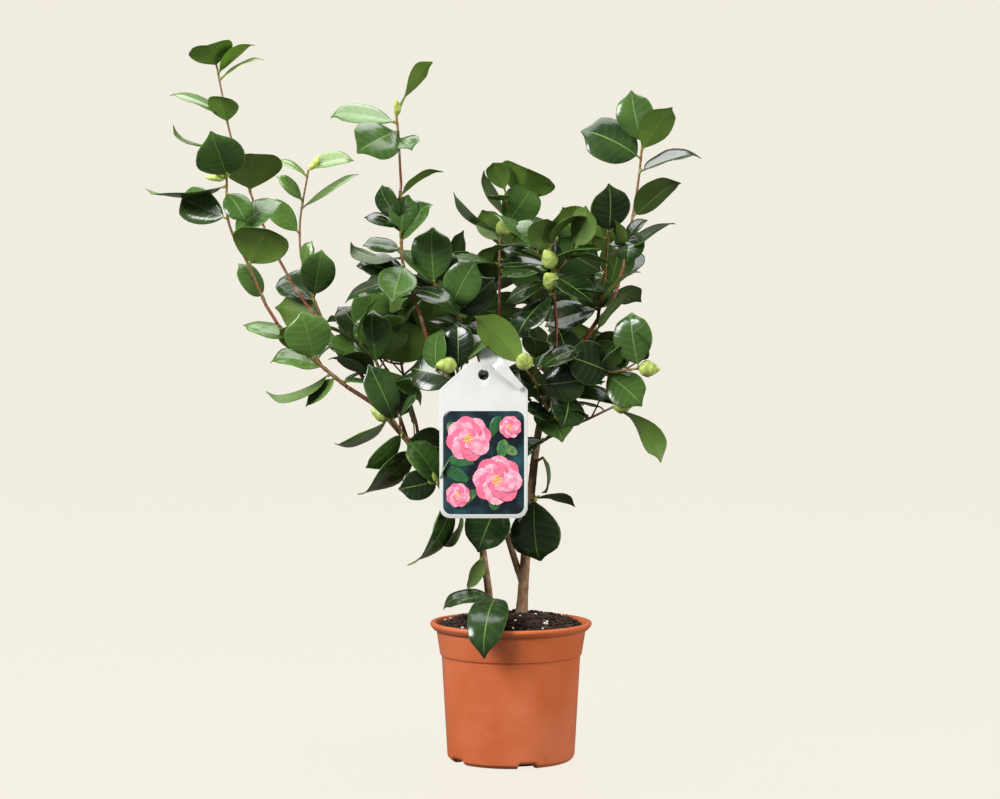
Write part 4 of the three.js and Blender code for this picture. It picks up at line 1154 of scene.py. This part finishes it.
def round_patch(shape, centre, radius, lift, kind):
    """A small printed dot: rings from its middle over the front, and back to the middle behind."""
    angle = np.linspace(2 * np.pi, 0, DOT["ring"], endpoint=False)[None]
    reach = radius * np.array([DOT["middle"], 1, 1, DOT["middle"]])[:, None]
    depth = np.array([0, 0, 1, 1])[:, None] * PRINT["thickness"] + 0 * angle
    x, z = centre[0] + reach * np.cos(angle), centre[1] + reach * np.sin(angle)
    shape.tube(card_point(x, z, lift - depth), kind)


def strap_shape():
    """The strap: a flat band carried along its route. It lies flat on the card at both ends, turns on
    edge where it goes round the bough, and narrows towards its free end."""
    path = Curve(STRAP["points"])
    shares = np.linspace(0, 1, STRAP["rows"])
    from_end = np.minimum(shares, 1 - shares)
    spine, along = path.point(shares), path.tangent(shares)
    turn = smoothstep(from_end, STRAP["flat"], STRAP["upright"]) * np.pi / 2
    across = square_to(np.stack([np.cos(turn), 0 * turn, np.sin(turn)], axis=1), along)
    angle = circle(STRAP["ring"])
    wide = np.sign(np.cos(angle)) * np.abs(np.cos(angle)) ** 0.35 * STRAP["width"] / 2
    deep = np.sign(np.sin(angle)) * np.abs(np.sin(angle)) ** 0.6 * STRAP["thickness"] / 2
    ends = np.minimum(1, np.sqrt(from_end / STRAP["end"]) + STRAP["end_width"])[:, None]
    ends = ends * (1 - STRAP["taper"] * smoothstep(shares, STRAP["taper_from"], 1))[:, None]
    through = np.cross(along, across)
    shape = Shape()
    shape.tube(swept(spine, across, through, wide[None] * ends, deep[None] * np.ones_like(ends)))
    return shape


def bark_radius(plan, number, ridge_height, length):
    """The radius of a limb: it tapers as in the source, with a flare at the root, low ridges that wind
    slowly along and come and go, and a swollen ring at each old leaf scar."""
    thick, thin = plan.radii

    def winding(count, angle, along):
        turn = BARK["slowest"] + BARK["faster"] * chance(number, count + 9)
        wave = np.sin(count * angle + 6 * chance(number, count) + along * turn)
        fade = BARK["fade"] * (1 + chance(number, count + 5))
        return wave * (0.5 + 0.5 * np.sin(along * fade + count)) / count ** 0.5

    def radius(share, angle, spine):
        along = share * length
        root = np.exp(-share * FLARE_FADE)
        plain = thick + (thin - thick) * share + plan.flare * root
        ridges = sum(winding(count, angle, along) for count in BARK["ridges"])
        lobes = BARK["lobe"] * root * np.sin(BARK["lobes"] * angle + number)
        scars = along / BARK["scar_step"]
        ring = np.exp(-((scars - np.round(scars)) * BARK["scar_step"] / BARK["scar_width"]) ** 2)
        one_side = 0.5 + 0.5 * np.cos(angle - np.round(scars) * GOLDEN_ANGLE)
        return plain * (1 + ridge_height * ridges + lobes + BARK["scar"] * ring * one_side)

    return radius


def twig_radius(twig, number):
    """The radius of a twig: it tapers, ripples, and swells where a leaf joins it."""
    thick, thin = twig["radii"]
    joints = np.array(twig["joints"]).reshape(-1, 3)

    def radius(share, angle, spine):
        near = np.zeros_like(share)
        if len(joints):
            gaps = np.linalg.norm(spine[:, None] - joints[None], axis=2)
            near = np.exp(-(gaps / TWIG_SKIN["joint_width"]) ** 2).sum(axis=1)[:, None]
        ripple = np.sin(TWIG_SKIN["ripples"] * angle + number + share * TWIG_SKIN["drift"])
        swell = TWIG_SKIN["joint"] * np.minimum(near, 1)
        return (thick + (thin - thick) * share) * (1 + swell + TWIG_SKIN["ripple"] * ripple)

    return radius


def limb_shapes(ridge_height):
    """Stems and boughs with the bark's relief, and the thinner shoots that carry the leaves."""
    bark, shoots = Shape(), Shape()
    for number, (name, plan) in enumerate(LIMBS.items()):
        curve, woody = curve_of(name), name.endswith("_stem")
        radius = bark_radius(plan, number, ridge_height, curve.length)
        points, marks = tube_grid(curve, radius, *LIMB_MESH["stem" if woody else "bough"])
        (bark if woody else shoots).tube(points, 0, marks)
    for number, twig in enumerate(grow()["twig"]):
        points, marks = tube_grid(twig["curve"], twig_radius(twig, number), *LIMB_MESH["twig"])
        shoots.tube(points, 1, marks)
    return bark, shoots


def axil_buds(leaves):
    """A small pointed spindle in each leaf's axil, between the leaf and the twig's tip."""
    base, chord, face = (
        np.array([leaf[part] for leaf in leaves])[:, None] for part in ("base", "chord", "face"))
    key = np.array([leaf["key"] for leaf in leaves])
    heading = unit(chord + AXIL_BUD["lean"] * face)
    side = unit(np.cross(heading, chord))
    upward = np.cross(side, heading)
    rows = AXIL_BUD["rows"]
    share = np.linspace(0, 1, rows)
    angle = circle(rows)
    length = AXIL_BUD["length"] * (AXIL_BUD["shortest"] + AXIL_BUD["longer"] * chance(key, 7))[:, None]
    spindle = np.sin(np.pi * np.clip(share, AXIL_BUD["foot"], AXIL_BUD["end"]) ** AXIL_BUD["low"])
    girth = AXIL_BUD["radius"] * spindle[:, None]
    spine = base + heading * (share * length + AXIL_BUD["off"])[..., None]
    points = swept(spine, side, upward, girth * np.cos(angle), girth * np.sin(angle))
    return points, [copies(group, len(leaves), rows * rows) for group in tube_faces(rows, rows)]


def bud_shapes():
    """Flower buds and leaf buds of overlapping scales, and a small pointed bud in each leaf's axil."""
    shape = Shape()
    grown = grow()
    for finish, kind in enumerate(BUDS):
        for bud in grown[kind]:
            points, marks = bud_grid(bud)
            shape.tube(points, finish, marks)
    shape.add(*axil_buds(grown["leaf"]), 1)
    return shape


def srgb(red, green, blue):
    """A screen colour, each channel from 0 to 255, as the linear colour that shaders take."""
    shares = np.array([red, green, blue]) / 255
    linear = np.where(shares <= 0.04045, shares / 12.92, ((shares + 0.055) / 1.055) ** 2.4)
    return tuple(float(value) for value in linear)


def mixed(first, second, share):
    """A colour between two others."""
    return tuple(a + (b - a) * share for a, b in zip(first, second))


def darker(colour, share):
    return mixed(colour, BLACK, share)


class Finish:
    """A Principled material whose colour and relief are built up node by node."""

    def __init__(self, name, roughness, specular=0.5):
        self.material = bpy.data.materials.new(name)
        self.material.use_nodes = True
        self.tree = self.material.node_tree
        self.shader = self.tree.nodes["Principled BSDF"]
        self.shader.inputs["Roughness"].default_value = roughness
        self.shader.inputs["Specular IOR Level"].default_value = specular
        self.height = None
        self.colour = None

    def node(self, kind, **inputs):
        """A node with some of its sockets set to values or joined to other sockets."""
        made = self.tree.nodes.new("ShaderNode" + kind)
        for socket, value in inputs.items():
            target = made.inputs[int(socket[1:])] if re.fullmatch(r"_\d+", socket) else made.inputs[socket]
            if isinstance(value, bpy.types.NodeSocket):
                self.tree.links.new(value, target)
            else:
                target.default_value = value
        return made

    def place(self, stretch=(1, 1, 1), marks=False):
        """Where the pattern lies: the object's own coordinates or the marks on its points."""
        if marks:
            source = self.node("Attribute")
            source.attribute_name = MARKS
            vector = source.outputs["Vector"]
        else:
            vector = self.node("TexCoord").outputs["Object"]
        if stretch == (1, 1, 1):
            return vector
        return self.node("Mapping", Vector=vector, Scale=stretch).outputs["Vector"]

    def noise(self, size, detail=3.0, low=0.35, high=0.65, **where):
        """Soft noise of a feature size in millimetres, spread between 0 and 1."""
        scale = 1 / size if where.get("marks") else 1 / (size * MM)
        pattern = self.node("TexNoise", Vector=self.place(**where), Scale=scale, Detail=detail)
        return self.spread(pattern.outputs["Fac"], low, high)

    def spread(self, value, low, high, start=0.0, end=1.0):
        """A value's range from low to high, stretched to run from start to end."""
        spread = self.node("MapRange", **{"Value": value, "From Min": low, "From Max": high, "To Min": start,
                                          "To Max": end})
        return spread.outputs["Result"]

    def mark(self, channel):
        """One channel of the marks on the piece's points."""
        return self.node("SeparateXYZ", Vector=self.place(marks=True)).outputs[channel]

    def math(self, operation, first, second):
        """What a Math node works out from two values."""
        made = self.node("Math", _0=first, _1=second)
        made.operation = operation
        return made.outputs[0]

    def tones(self, first, second, share):
        """The colour runs between two tones by a share."""
        mix = self.node("Mix")
        mix.data_type = "RGBA"
        self.tree.links.new(share, mix.inputs[0])
        for socket, tone in ((mix.inputs[6], first), (mix.inputs[7], second)):
            if isinstance(tone, bpy.types.NodeSocket):
                self.tree.links.new(tone, socket)
            else:
                socket.default_value = (*tone[:3], 1)
        self.colour = mix.outputs[2]
        self.tree.links.new(self.colour, self.shader.inputs["Base Color"])
        return self

    def over(self, tone, share):
        """Another tone laid over the colour so far where the share is high."""
        return self.tones(self.colour, tone, share)

    def relief(self, value, depth):
        """Relief of a depth in millimetres, added to any before it."""
        bump = self.node("Bump", Height=value, Distance=depth * MM, Strength=1.0)
        if self.height:
            self.tree.links.new(self.height, bump.inputs["Normal"])
        self.height = bump.outputs["Normal"]
        self.tree.links.new(self.height, self.shader.inputs["Normal"])
        return self

    def gloss(self, value, low, high):
        """Roughness that varies with a value from low to high."""
        self.tree.links.new(self.spread(value, 0, 1, low, high), self.shader.inputs["Roughness"])
        return self


def blade_finish(name, tone, roughness, vein_depth):
    """A blade's upper side: mottled, a little different on each leaf, with paler and sunken side veins."""
    made = Finish(name, roughness)
    patch = made.math("MULTIPLY", made.noise(26), made.mark("Z"))
    made.tones(darker(tone, 0.35), mixed(tone, (0.35, 0.5, 0.12), 0.05), patch)
    groove = made.spread(made.math("PINGPONG", made.mark("X"), 0.5), 0, 0.16)
    vein = made.math("SUBTRACT", 1.0, made.math("MAXIMUM", groove, 0.7))
    made.over(mixed(tone, (0.4, 0.55, 0.2), 0.06), vein)
    return made.relief(groove, vein_depth / MM).relief(made.noise(12, detail=0), 0.03).material


def skin_finish(name, tone, roughness, size=14):
    """Plain leaf skin, mottled in patches of a size."""
    made = Finish(name, roughness)
    made.tones(darker(tone, 0.22), tone, made.noise(size)).relief(made.noise(3, detail=2), 0.08)
    return made.material


def leaf_finishes(settings):
    """The finishes of the leaves of each tone: blade, rib, margin, underside and petiole."""
    rib = skin_finish("leaf_rib", settings.rib, 0.4)
    petiole = skin_finish("leaf_petiole", settings.petiole, 0.45)
    # The shade tone's underside is darkened as painted shade, the lightest tone's underside is the colour
    # painted as lit through, and young undersides are partly painted as lit through.
    unders = {
        "shade": mixed(settings.under, settings.shade, 0.5), "deep": settings.under, "green": settings.under,
        "bright": settings.lit, "young": settings.fresh_and_lit,
    }
    finishes = {}
    for tone, under in unders.items():
        colour = getattr(settings, tone)
        blade = blade_finish("leaf_blade_" + tone, colour, settings.roughness, settings.vein_depth)
        margin = skin_finish("leaf_margin_" + tone, mixed(colour, settings.rib, 0.4), 0.42)
        finishes[tone] = [blade, rib, margin, skin_finish("leaf_underside_" + tone, under, 0.5, 22), petiole]
    return finishes


def bark_finish(name, dark, light, streak):
    """Bark: streaks of a length that run along the limb, patches of paler cork, and fine relief."""
    made = Finish(name, 0.78)
    lines = made.noise(1, 4, 0.3, 0.7, stretch=(2.2, 2.2, 1 / streak), marks=True)
    made.tones(dark, light, lines).over(mixed(light, (0.5, 0.45, 0.4), 0.5), made.noise(9, 3, 0.55, 0.75))
    return made.relief(lines, 0.35).relief(made.noise(1.2), 0.2).material


def pot_finish(settings):
    """Satin moulded plastic: soft mottling, faint rings from the mould, and a few dark specks of compost."""
    colour, roughness = settings.colour, settings.roughness
    made = Finish("pot_plastic", roughness)
    made.tones(darker(colour, 0.05), mixed(colour, (0.8, 0.45, 0.35), 0.04), made.noise(40))
    made.over(settings.dust, made.spread(made.noise(70, 3, 0.4, 0.75), 0, 1, 0, 0.22))
    made.over(settings.speck, made.noise(3.2, 2, 0.75, 0.77))
    made.relief(made.noise(1, 2, stretch=(0.02, 0.02, 0.5)), 0.05).relief(made.noise(1.6), 0.05)
    return made.gloss(made.noise(18), roughness - 0.06, roughness + 0.1).material


def mineral_finish(name, dark, light, size, roughness=0.9, depth=0.3):
    """Rough grains from dark to light, with relief a third as wide."""
    made = Finish(name, roughness)
    return made.tones(dark, light, made.noise(size, 5)).relief(made.noise(size / 3, 4), depth).material


def print_finish(name, first, second, size, low=0.35, high=0.65):
    """Printed card: one tone running softly into another."""
    made = Finish(name, 0.35)
    return made.tones(first, second, made.noise(size, 2, low, high)).relief(made.noise(1.5, 2), 0.01).material


def scale_finish(name, edge, tone):
    """Bud scales: one tone, and another at their thin edges."""
    made = Finish(name, 0.42)
    return made.tones(edge, tone, made.mark("X")).relief(made.noise(1.5), 0.1).material


def colour_property(name, description, tone):
    return bpy.props.FloatVectorProperty(
        name=name, description=description, subtype="COLOR", default=srgb(*tone), min=0, max=1)


def length_property(name, description, size, low, high):
    return bpy.props.FloatProperty(
        name=name, description=description, unit="LENGTH", default=size * MM, min=low * MM, max=high * MM)


def share_property(name, description, value):
    return bpy.props.FloatProperty(
        name=name, description=description, subtype="FACTOR", default=value, min=0, max=1)


def count_property(name, description, value, low, high):
    return bpy.props.IntProperty(name=name, description=description, default=value, min=low, max=high)


def power_property(name, description, watts):
    return bpy.props.FloatProperty(
        name=name, description=description, unit="POWER", default=watts, min=0, max=1000)


class PotSettings(bpy.types.PropertyGroup):
    segments: count_property("Segments", "Steps round the pot", 256, 64, 512)
    colour: colour_property("Colour", "The pot's plastic", (191, 95, 50))
    dust: colour_property("Dust", "A dry film on the plastic", (216, 138, 108))
    speck: colour_property("Specks", "Crumbs of compost stuck to the pot", (60, 34, 24))
    roughness: share_property("Roughness", "Roughness of the plastic", 0.4)


class CompostSettings(bpy.types.PropertyGroup):
    crumbs: count_property("Crumbs", "Loose crumbs strewn over the compost", 2200, 0, 4000)
    crumb_size: length_property("Crumb size", "Mean width of a crumb", 2.6, 1, 8)
    dark: colour_property("Dark", "Damp compost", (13, 10, 8))
    light: colour_property("Light", "Drier compost", (38, 28, 23))
    bark: colour_property("Bark", "Chips of bark in the compost", (98, 66, 44))
    perlite: colour_property("Perlite", "White grains in the compost", (236, 232, 224))


class LabelSettings(bpy.types.PropertyGroup):
    card: colour_property("Card", "The card and its strap", (208, 210, 208))
    panel: colour_property("Panel", "Dark ground of the printed picture", (20, 34, 44))
    haze: colour_property("Haze", "Pale places in the picture's ground", (44, 92, 100))
    leaf: colour_property("Leaves", "Printed leaves", (52, 104, 62))
    petal: colour_property("Petals", "Printed petals", (232, 120, 150))
    stamen: colour_property("Stamens", "Printed stamens", (240, 196, 70))


class StemSettings(bpy.types.PropertyGroup):
    ridges: share_property("Ridges", "Height of the bark's ridges as a share of the radius", 0.035)
    old: colour_property("Old bark", "Bark of the stems", (164, 132, 100))
    old_dark: colour_property("Old bark, dark", "Furrows in the stems' bark", (112, 84, 62))
    shoot: colour_property("Shoots", "Bark of the boughs and shoots", (160, 96, 70))
    shoot_dark: colour_property("Shoots, dark", "Furrows in the shoots' bark", (92, 56, 40))
    twig: colour_property("Twigs", "Skin of the youngest twigs", (136, 104, 62))


class LeafSettings(bpy.types.PropertyGroup):
    thickness: length_property("Thickness", "Thickness of a blade", 0.55, 0.2, 2)
    vein_depth: length_property("Vein depth", "How far the side veins are sunk", 0.05, 0, 1)
    roughness: share_property("Roughness", "Roughness of a blade's upper side", 0.2)
    # Painted shade: the darkest tone, for leaves in the shade of the crown's middle.
    shade: colour_property("Shade", "Leaves deep inside the crown", (22, 42, 18))
    # Partly painted shade: the deep tone goes to drooping leaves and to many leaves near the crown's middle.
    deep: colour_property("Deep", "Oldest leaves", (40, 66, 30))
    green: colour_property("Green", "Full-grown leaves", (66, 99, 43))
    # Painted light: the lightest tone of full-grown leaves, for leaves far out in the light and for leaves
    # that show their underside.
    bright: colour_property("Bright", "Leaves in full light", (93, 130, 58))
    young: colour_property("Young", "Young leaves", (112, 146, 58))
    under: colour_property("Underside", "Undersides of old leaves", (88, 116, 46))
    # Painted light: the colour of light shining through a leaf, given to the undersides of the lightest tone.
    lit: colour_property("Lit underside", "Undersides that light shines through", (98, 128, 48))
    # Partly painted light: young undersides are paler of their own, and this colour also stands for light
    # shining through them.
    fresh_and_lit: colour_property("Fresh underside", "Undersides of young leaves", (124, 160, 60))
    rib: colour_property("Rib", "Midribs", (104, 134, 62))
    petiole: colour_property("Petiole", "Leaf stalks", (124, 132, 62))


class BudSettings(bpy.types.PropertyGroup):
    scale: colour_property("Scales", "Bud scales", (176, 194, 102))
    edge: colour_property("Scale edges", "Thin edges of the scales", (134, 148, 74))
    tip: colour_property("Leaf buds", "Scales of the leaf buds", (186, 204, 104))
    tip_edge: colour_property("Leaf bud edges", "Edges of the leaf buds' scales", (136, 152, 66))


class StageSettings(bpy.types.PropertyGroup):
    floor: colour_property("Floor", "Floor and backdrop", (242, 237, 225))
    glow: share_property("Glow", "Share of the backdrop's own light", 0.99)
    key: power_property("Key light", "Power of the soft light at the upper left", 112)
    side: power_property("Side light", "Power of the soft light at the right", 42)
    top: power_property("Top light", "Power of the soft light above and behind", 72)
    ambient: share_property("Ambient", "Strength of the light from all round", 0.21)


def settings_of(piece):
    return getattr(bpy.context.scene, "camellia_" + piece)


class CAMELLIA_OT_stage(bpy.types.Operator):
    """Adds the pale floor that curves up into a backdrop, the lights and the camera"""

    bl_idname = "camellia.stage"
    bl_label = "Stage"

    def execute(self, context):
        settings = settings_of("stage")
        self.add_floor(context, settings)
        self.add_lights(context, settings)
        self.add_camera(context)
        return {"FINISHED"}

    def add_floor(self, context, settings):
        radius, height, thick, pole = (STAGE[part] for part in ("radius", "height", "thickness", "pole"))
        corners = [(pole, -thick), (radius + thick, -thick), (radius + thick, height), (radius, height),
                   (radius, 0), (pole, 0)]
        outline = rounded(corners, STAGE["curve"], STAGE["curve_steps"])
        outline[:, 1] -= STAGE["gap"]
        shape = Shape()
        shape.add(*turned_body(outline, circle(STAGE["segments"])))
        floor = bpy.data.objects.new("floor", shape.mesh("floor"))
        made = Finish("backdrop", 0.9, specular=0.1)
        lit = mixed(BLACK, settings.floor, 1 - settings.glow)
        made.tones(darker(lit, 0.04), lit, made.noise(400))
        made.shader.inputs["Emission Color"].default_value = (*settings.floor, 1)
        made.shader.inputs["Emission Strength"].default_value = settings.glow
        made.material.cycles.emission_sampling = "NONE"
        floor.data.materials.append(made.material)
        context.scene.collection.objects.link(floor)
        floor.visible_diffuse = False
        floor.visible_glossy = False

    def add_lights(self, context, settings):
        world = bpy.data.worlds.new("studio")
        world.use_nodes = True
        background = world.node_tree.nodes["Background"].inputs
        background["Color"].default_value = (*settings.floor, 1)
        background["Strength"].default_value = settings.ambient
        context.scene.world = world
        for name, plan in LIGHTS.items():
            light = bpy.data.lights.new(name, "AREA")
            light.shape = "DISK"
            light.energy, light.size = getattr(settings, name), plan["size"] * MM
            lamp = bpy.data.objects.new(name, light)
            place, aim = Vector(plan["place"]), Vector(plan["aim"])
            lamp.location = place * MM
            lamp.rotation_euler = (aim - place).to_track_quat("-Z", "Y").to_euler()
            lamp.visible_glossy = name != "side"
            context.scene.collection.objects.link(lamp)

    def add_camera(self, context):
        lens = bpy.data.cameras.new("camera")
        lens.lens, lens.sensor_width = CAMERA["lens"], CAMERA["sensor"]
        camera = bpy.data.objects.new("camera", lens)
        camera.location = Vector(CAMERA["place"]) * MM
        camera.rotation_euler = (math.pi / 2 - math.radians(CAMERA["tilt"]), 0, 0)
        context.scene.collection.objects.link(camera)
        context.scene.camera = camera
        context.scene.view_settings.view_transform = "Standard"


class CAMELLIA_OT_pot(bpy.types.Operator):
    """Adds the nursery pot"""

    bl_idname = "camellia.pot"
    bl_label = "Pot"

    def execute(self, context):
        settings = settings_of("pot")
        # The notch's finish is near black: painted shade in the recess, and compost seen through the drain
        # opening.
        notch_compost_shade = mineral_finish("pot_notch", darker(settings.speck, 0.8), settings.speck, 3)
        place("pot_wall", pot_shape(settings), [pot_finish(settings), notch_compost_shade], "pot", ["pot"])
        return {"FINISHED"}


class CAMELLIA_OT_compost(bpy.types.Operator):
    """Adds the compost with its loose crumbs, bark chips and perlite"""

    bl_idname = "camellia.compost"
    bl_label = "Compost"

    def execute(self, context):
        settings = settings_of("compost")
        finishes = [
            mineral_finish("compost_bed", settings.dark, settings.light, 4, 0.95, 0.9),
            mineral_finish("compost_crumb", settings.dark, mixed(settings.light, settings.bark, 0.3), 5),
            mineral_finish("compost_bark", mixed(settings.bark, settings.dark, 0.6), settings.bark, 3),
            mineral_finish("perlite", mixed(settings.perlite, settings.bark, 0.3), settings.perlite, 1.5),
        ]
        place("compost", compost_shape(settings), finishes, "soil", ["soil"], smooth=False)
        return {"FINISHED"}


class CAMELLIA_OT_label(bpy.types.Operator):
    """Adds the hang label: its card, its printed picture and its strap"""

    bl_idname = "camellia.label"
    bl_label = "Label"

    def execute(self, context):
        settings = settings_of("label")
        white = print_finish("label_card", darker(settings.card, 0.05), settings.card, 20)
        petal, leaf = settings.petal, settings.leaf
        prints = [
            print_finish("print_ground", darker(settings.panel, 0.3), settings.haze, 30, low=0.46, high=0.8),
            print_finish("print_leaf", darker(leaf, 0.35), leaf, 7),
            print_finish("print_leaf_pale", leaf, mixed(leaf, (0.5, 0.6, 0.2), 0.3), 7),
            print_finish("print_petal", mixed(petal, (0.45, 0.02, 0.1), 0.3), petal, 6),
            print_finish("print_petal_pale", petal, mixed(petal, (1, 0.8, 0.85), 0.45), 6),
            print_finish("print_stamen", mixed(settings.stamen, (0.5, 0.2, 0), 0.4), settings.stamen, 2),
        ]
        place("label_card", card_shape(), [white], "label", ["hang_label"])
        place("label_print", print_shape(), prints, "label", ["hang_label"])
        place("label_strap", strap_shape(), [white], "label", ["hang_label"])
        return {"FINISHED"}


class CAMELLIA_OT_stems(bpy.types.Operator):
    """Adds the stems with their bark, and the boughs, shoots and twigs"""

    bl_idname = "camellia.stems"
    bl_label = "Stems and shoots"

    def execute(self, context):
        settings = settings_of("stems")
        bark, shoots = limb_shapes(settings.ridges)
        old = bark_finish("bark_old", settings.old_dark, settings.old, 9)
        young = bark_finish("bark_shoot", settings.shoot_dark, settings.shoot, 6)
        green = bark_finish("bark_twig", mixed(settings.twig, settings.shoot_dark, 0.5), settings.twig, 5)
        stems = [name for name in LIMBS if name.endswith("_stem")]
        place("stem_bark", bark, [old], "bark", stems)
        boughs = [name for name in LIMBS if name not in stems]
        place("shoot_bark", shoots, [young, green], "bark", [*boughs, *MASSES])
        return {"FINISHED"}


class CAMELLIA_OT_leaves(bpy.types.Operator):
    """Adds the leaves, joined by tone"""

    bl_idname = "camellia.leaves"
    bl_label = "Leaves"

    def execute(self, context):
        settings = settings_of("leaves")
        finishes = leaf_finishes(settings)
        groups = {tone: [] for tone in finishes}
        # Each leaf's tone carries painted shade near the crown's middle and painted light further out.
        for leaf in grow()["leaf"]:
            groups[leaf_tone(leaf)].append(leaf)
        rows, ring = len(LEAF_ROWS), len(LEAF_RING)
        for tone, leaves in groups.items():
            points, marks = leaf_grid(leaves, settings.thickness / MM)
            faces = [copies(group, len(leaves), rows * ring) for group in tube_faces(rows, ring)]
            shape = Shape()
            shape.add(points, faces, np.tile(leaf_kinds(), len(leaves)), marks)
            place("leaves_" + tone, shape, finishes[tone], "foliage", list(MASSES))
        return {"FINISHED"}


class CAMELLIA_OT_buds(bpy.types.Operator):
    """Adds the flower buds, the leaf buds and the small buds in the leaves' axils"""

    bl_idname = "camellia.buds"
    bl_label = "Buds"

    def execute(self, context):
        settings = settings_of("buds")
        flower = scale_finish("bud_flower", settings.edge, settings.scale)
        leaf = scale_finish("bud_leaf", settings.tip_edge, settings.tip)
        place("buds", bud_shapes(), [flower, leaf], "foliage", list(MASSES))
        return {"FINISHED"}


class CAMELLIA_PT_panel(bpy.types.Panel):
    """Lists the pieces of the plant and their settings"""

    bl_idname = "CAMELLIA_PT_panel"
    bl_label = "Potted Camellia"
    bl_space_type = "VIEW_3D"
    bl_region_type = "UI"
    bl_category = "Camellia"

    def draw(self, context):
        for piece, (operator, settings) in PIECES.items():
            box = self.layout.box()
            box.operator(operator.bl_idname)
            for key in settings.__annotations__:
                box.prop(settings_of(piece), key)


# Each piece's operator and settings, in the order in which they are made.
PIECES = {
    "stage": (CAMELLIA_OT_stage, StageSettings),
    "pot": (CAMELLIA_OT_pot, PotSettings),
    "compost": (CAMELLIA_OT_compost, CompostSettings),
    "stems": (CAMELLIA_OT_stems, StemSettings),
    "label": (CAMELLIA_OT_label, LabelSettings),
    "leaves": (CAMELLIA_OT_leaves, LeafSettings),
    "buds": (CAMELLIA_OT_buds, BudSettings),
}


def register():
    for piece, (operator, settings) in PIECES.items():
        bpy.utils.register_class(settings)
        bpy.utils.register_class(operator)
        setattr(bpy.types.Scene, "camellia_" + piece, bpy.props.PointerProperty(type=settings))
    bpy.utils.register_class(CAMELLIA_PT_panel)


def unregister():
    bpy.utils.unregister_class(CAMELLIA_PT_panel)
    for piece, (operator, settings) in PIECES.items():
        delattr(bpy.types.Scene, "camellia_" + piece)
        bpy.utils.unregister_class(operator)
        bpy.utils.unregister_class(settings)


def main():
    register()
    for operator, _ in PIECES.values():
        getattr(bpy.ops.camellia, operator.bl_idname.split(".")[1])()


if __name__ == "__main__":
    main()
